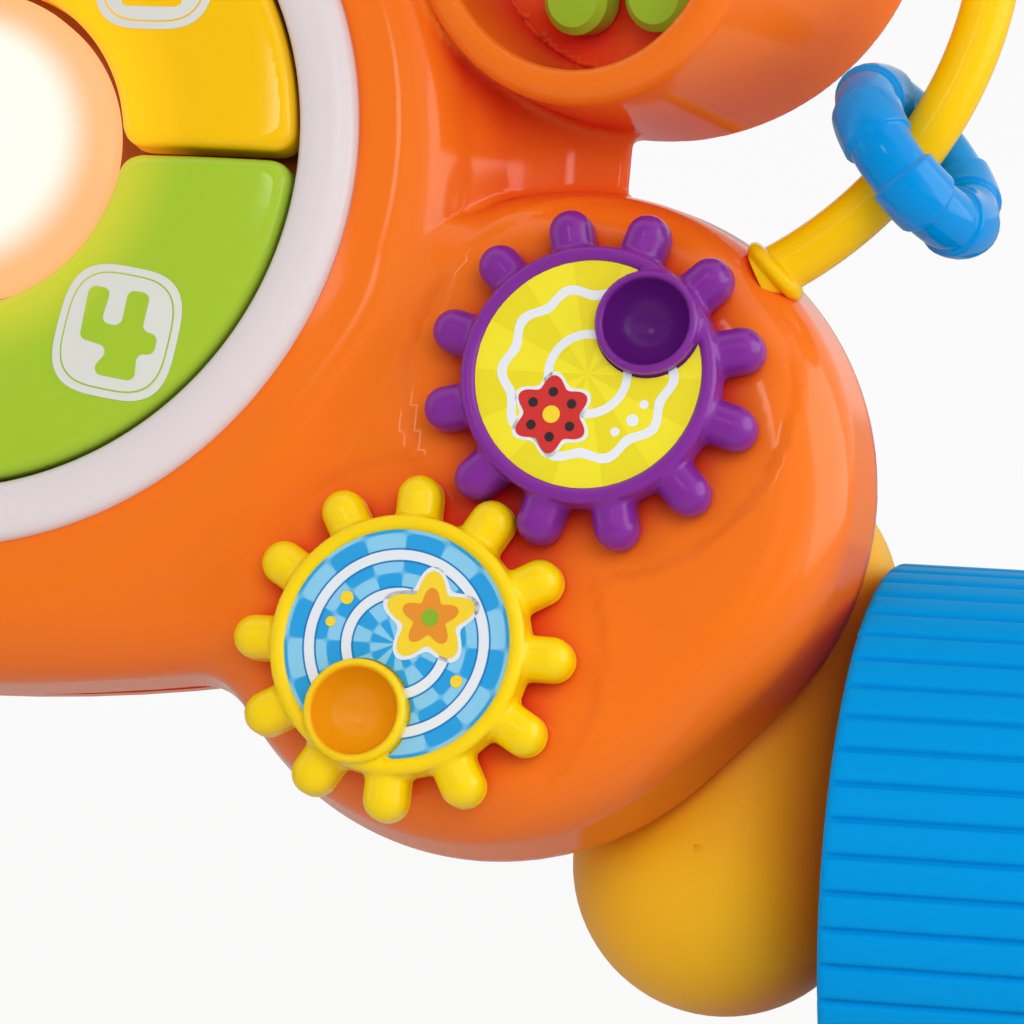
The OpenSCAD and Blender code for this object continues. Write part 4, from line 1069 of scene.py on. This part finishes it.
def add_camera():
    """Long lens at the place that was fitted to the photograph."""
    data = bpy.data.cameras.new("camera")
    data.sensor_width = 36
    data.lens = FOCAL_PX * data.sensor_width / IMAGE_PX
    data.clip_start = 0.05
    data.clip_end = 50
    camera = bpy.data.objects.new("camera", data)
    camera.location = CAMERA_AT
    camera.rotation_euler = (FOCUS - CAMERA_AT).to_track_quat("-Z", "Y").to_euler()
    bpy.context.scene.collection.objects.link(camera)
    bpy.context.scene.camera = camera


def add_softbox(name, azimuth, elevation, away, size, power, mirrored=False):
    """Square lamp that looks at the camera's focus, and shows in reflections where mirrored says so."""
    data = bpy.data.lights.new(name, "AREA")
    data.shape = "SQUARE"
    data.size = size
    data.energy = power
    a, e = math.radians(azimuth), math.radians(elevation)
    back = Vector((math.sin(a) * math.cos(e), -math.cos(a) * math.cos(e), math.sin(e)))
    lamp = bpy.data.objects.new(name, data)
    lamp.location = FOCUS + back * away
    lamp.rotation_euler = (-back).to_track_quat("-Z", "Y").to_euler()
    lamp.visible_glossy = mirrored
    bpy.context.scene.collection.objects.link(lamp)


def seen_rays(tree):
    """One for camera, glossy and transmission rays and zero for the rest, and one for camera rays alone."""
    path = tree.nodes.new("ShaderNodeLightPath")
    rays = path.outputs
    mirrored = math_step(tree, "MAXIMUM", rays["Is Glossy Ray"], rays["Is Transmission Ray"])
    return math_step(tree, "MAXIMUM", rays["Is Camera Ray"], mirrored), rays["Is Camera Ray"]


def add_world():
    """Even soft light. Reflections show a white room with a dim wall in front of the panel."""
    world = bpy.data.worlds.new("studio")
    bpy.context.scene.world = world
    world.use_nodes = True
    tree = world.node_tree
    link = tree.links.new
    lit = tree.nodes["Background"]
    lit.inputs["Color"].default_value = (1, 1, 1, 1)
    lit.inputs["Strength"].default_value = WORLD_LEVEL
    place = tree.nodes.new("ShaderNodeTexCoord")
    toward = tree.nodes.new("ShaderNodeVectorMath")
    toward.operation = "DOT_PRODUCT"
    toward.inputs[1].default_value = DIM_TOWARD
    link(place.outputs["Generated"], toward.inputs[0])
    wall = tree.nodes.new("ShaderNodeMapRange")
    wall.interpolation_type = "SMOOTHSTEP"
    wall.inputs["From Min"].default_value = DIM_EDGE[0]
    wall.inputs["From Max"].default_value = DIM_EDGE[1]
    wall.inputs["To Min"].default_value = 1
    wall.inputs["To Max"].default_value = DIM_LEVEL
    link(toward.outputs["Value"], wall.inputs["Value"])
    seen, camera = seen_rays(tree)
    room = tree.nodes.new("ShaderNodeBackground")
    room.inputs["Color"].default_value = (1, 1, 1, 1)
    link(math_step(tree, "MAXIMUM", wall.outputs["Result"], camera), room.inputs["Strength"])
    mix = tree.nodes.new("ShaderNodeMixShader")
    link(seen, mix.inputs["Fac"])
    link(lit.outputs[0], mix.inputs[1])
    link(room.outputs[0], mix.inputs[2])
    link(mix.outputs[0], tree.nodes["World Output"].inputs["Surface"])


def add_floor():
    """Pale floor that looks white but keeps a faint shadow. Reflections show it dim."""
    half = 6
    mesh = bpy.data.meshes.new("floor")
    corners = [(-half, -half, 0), (half, -half, 0), (half, half, 0), (-half, half, 0)]
    mesh.from_pydata(corners, [], [(0, 1, 2, 3)])
    material = bpy.data.materials.new("floor")
    material.use_nodes = True
    tree = material.node_tree
    link = tree.links.new
    lit = tree.nodes["Principled BSDF"]
    lit.inputs["Base Color"].default_value = (0.85, 0.85, 0.85, 1)
    lit.inputs["Roughness"].default_value = 0.9
    white = tree.nodes.new("ShaderNodeEmission")
    place = tree.nodes.new("ShaderNodeTexCoord")
    split = tree.nodes.new("ShaderNodeSeparateXYZ")
    ahead = tree.nodes.new("ShaderNodeMapRange")
    ahead.inputs["From Min"].default_value = FLOOR_DIM_Y[0]
    ahead.inputs["From Max"].default_value = FLOOR_DIM_Y[1]
    ahead.inputs["To Min"].default_value = FLOOR_DIM[0]
    ahead.inputs["To Max"].default_value = FLOOR_DIM[1]
    mix = tree.nodes.new("ShaderNodeMixShader")
    seen, camera = seen_rays(tree)
    link(place.outputs["Object"], split.inputs["Vector"])
    link(split.outputs["Y"], ahead.inputs["Value"])
    link(math_step(tree, "MAXIMUM", ahead.outputs["Result"], camera), white.inputs["Strength"])
    link(math_step(tree, "MULTIPLY", seen, FLOOR_WHITE), mix.inputs["Fac"])
    link(lit.outputs[0], mix.inputs[1])
    link(white.outputs[0], mix.inputs[2])
    link(mix.outputs[0], tree.nodes["Material Output"].inputs["Surface"])
    mesh.materials.append(material)
    floor = bpy.data.objects.new("floor", mesh)
    bpy.context.scene.collection.objects.link(floor)


add_camera()
add_world()
add_floor()
add_softbox("key_light", azimuth=28, elevation=33, away=1.5, size=0.8, power=8.6)
add_softbox("fill_light", azimuth=-40, elevation=30, away=1.6, size=0.9, power=3)
add_softbox("side_light", azimuth=95, elevation=14, away=1.2, size=1.2, power=8, mirrored=True)
add_softbox("window_light", azimuth=-5, elevation=38, away=1.5, size=0.22, power=0.6, mirrored=True)
bpy.context.scene.view_settings.view_transform = "Standard"

# Materials of the frame's own nodes
CAD_LOOKS = {
    ORANGE: ("back_shell", "battery_door"),
    WHITE: ("dial_bezel", "mirror_rim"),
    DOME: ("light_dome",),
    BOARD: ("led_board", "circuit_board"),
    BED: ("key_bed",),
    DARK: ("battery_tray", "speaker", "roller_tray"),
    PURPLE: ("roller",),
    PURPLE_GEAR: ("gear_upper",),
    YELLOW_GEAR: ("gear_lower",),
    PURPLE_KEY: ("key_1",),
    YELLOW_KEY: ("key_2",),
    BLUE_KEY: ("key_3",),
    GREEN_KEY: ("key_4",),
    GREEN: ("spinner", "ring_left"),
    LEG: ("side_frame_right", "side_frame_left", "cross_brace"),
    YELLOW: ("handle_frame", "handle_socket_right", "handle_socket_left", "cap_front_right",
             "cap_front_left", "cap_rear_right", "cap_rear_left"),
    TUBE: ("arch_right", "arch_left"),
    BLUE: ("ring_right",),
    TYRE: ("wheel_front_right", "wheel_front_left", "wheel_rear_right", "wheel_rear_left"),
    LABEL_YELLOW: ("gear_upper_label",),
    LABEL_BLUE: ("gear_lower_label",),
    GLASS: ("mirror",),
    GRIP: ("handle_grip",),
    CELLS: ("battery_cells",),
    RED: ("power_switch",),
    STEEL: ("shell_screws", "key_springs", "gear_upper_screw", "gear_lower_screw", "spinner_screw",
            "roller_axle", "leg_screw_right", "leg_screw_left", "axle_front_right", "axle_front_left",
            "axle_rear_right", "axle_rear_left", "battery_door_screw"),
}
for look, names in CAD_LOOKS.items():
    for cad_name in names:
        NODES[cad_name].data.materials.clear()
        NODES[cad_name].data.materials.append(look)
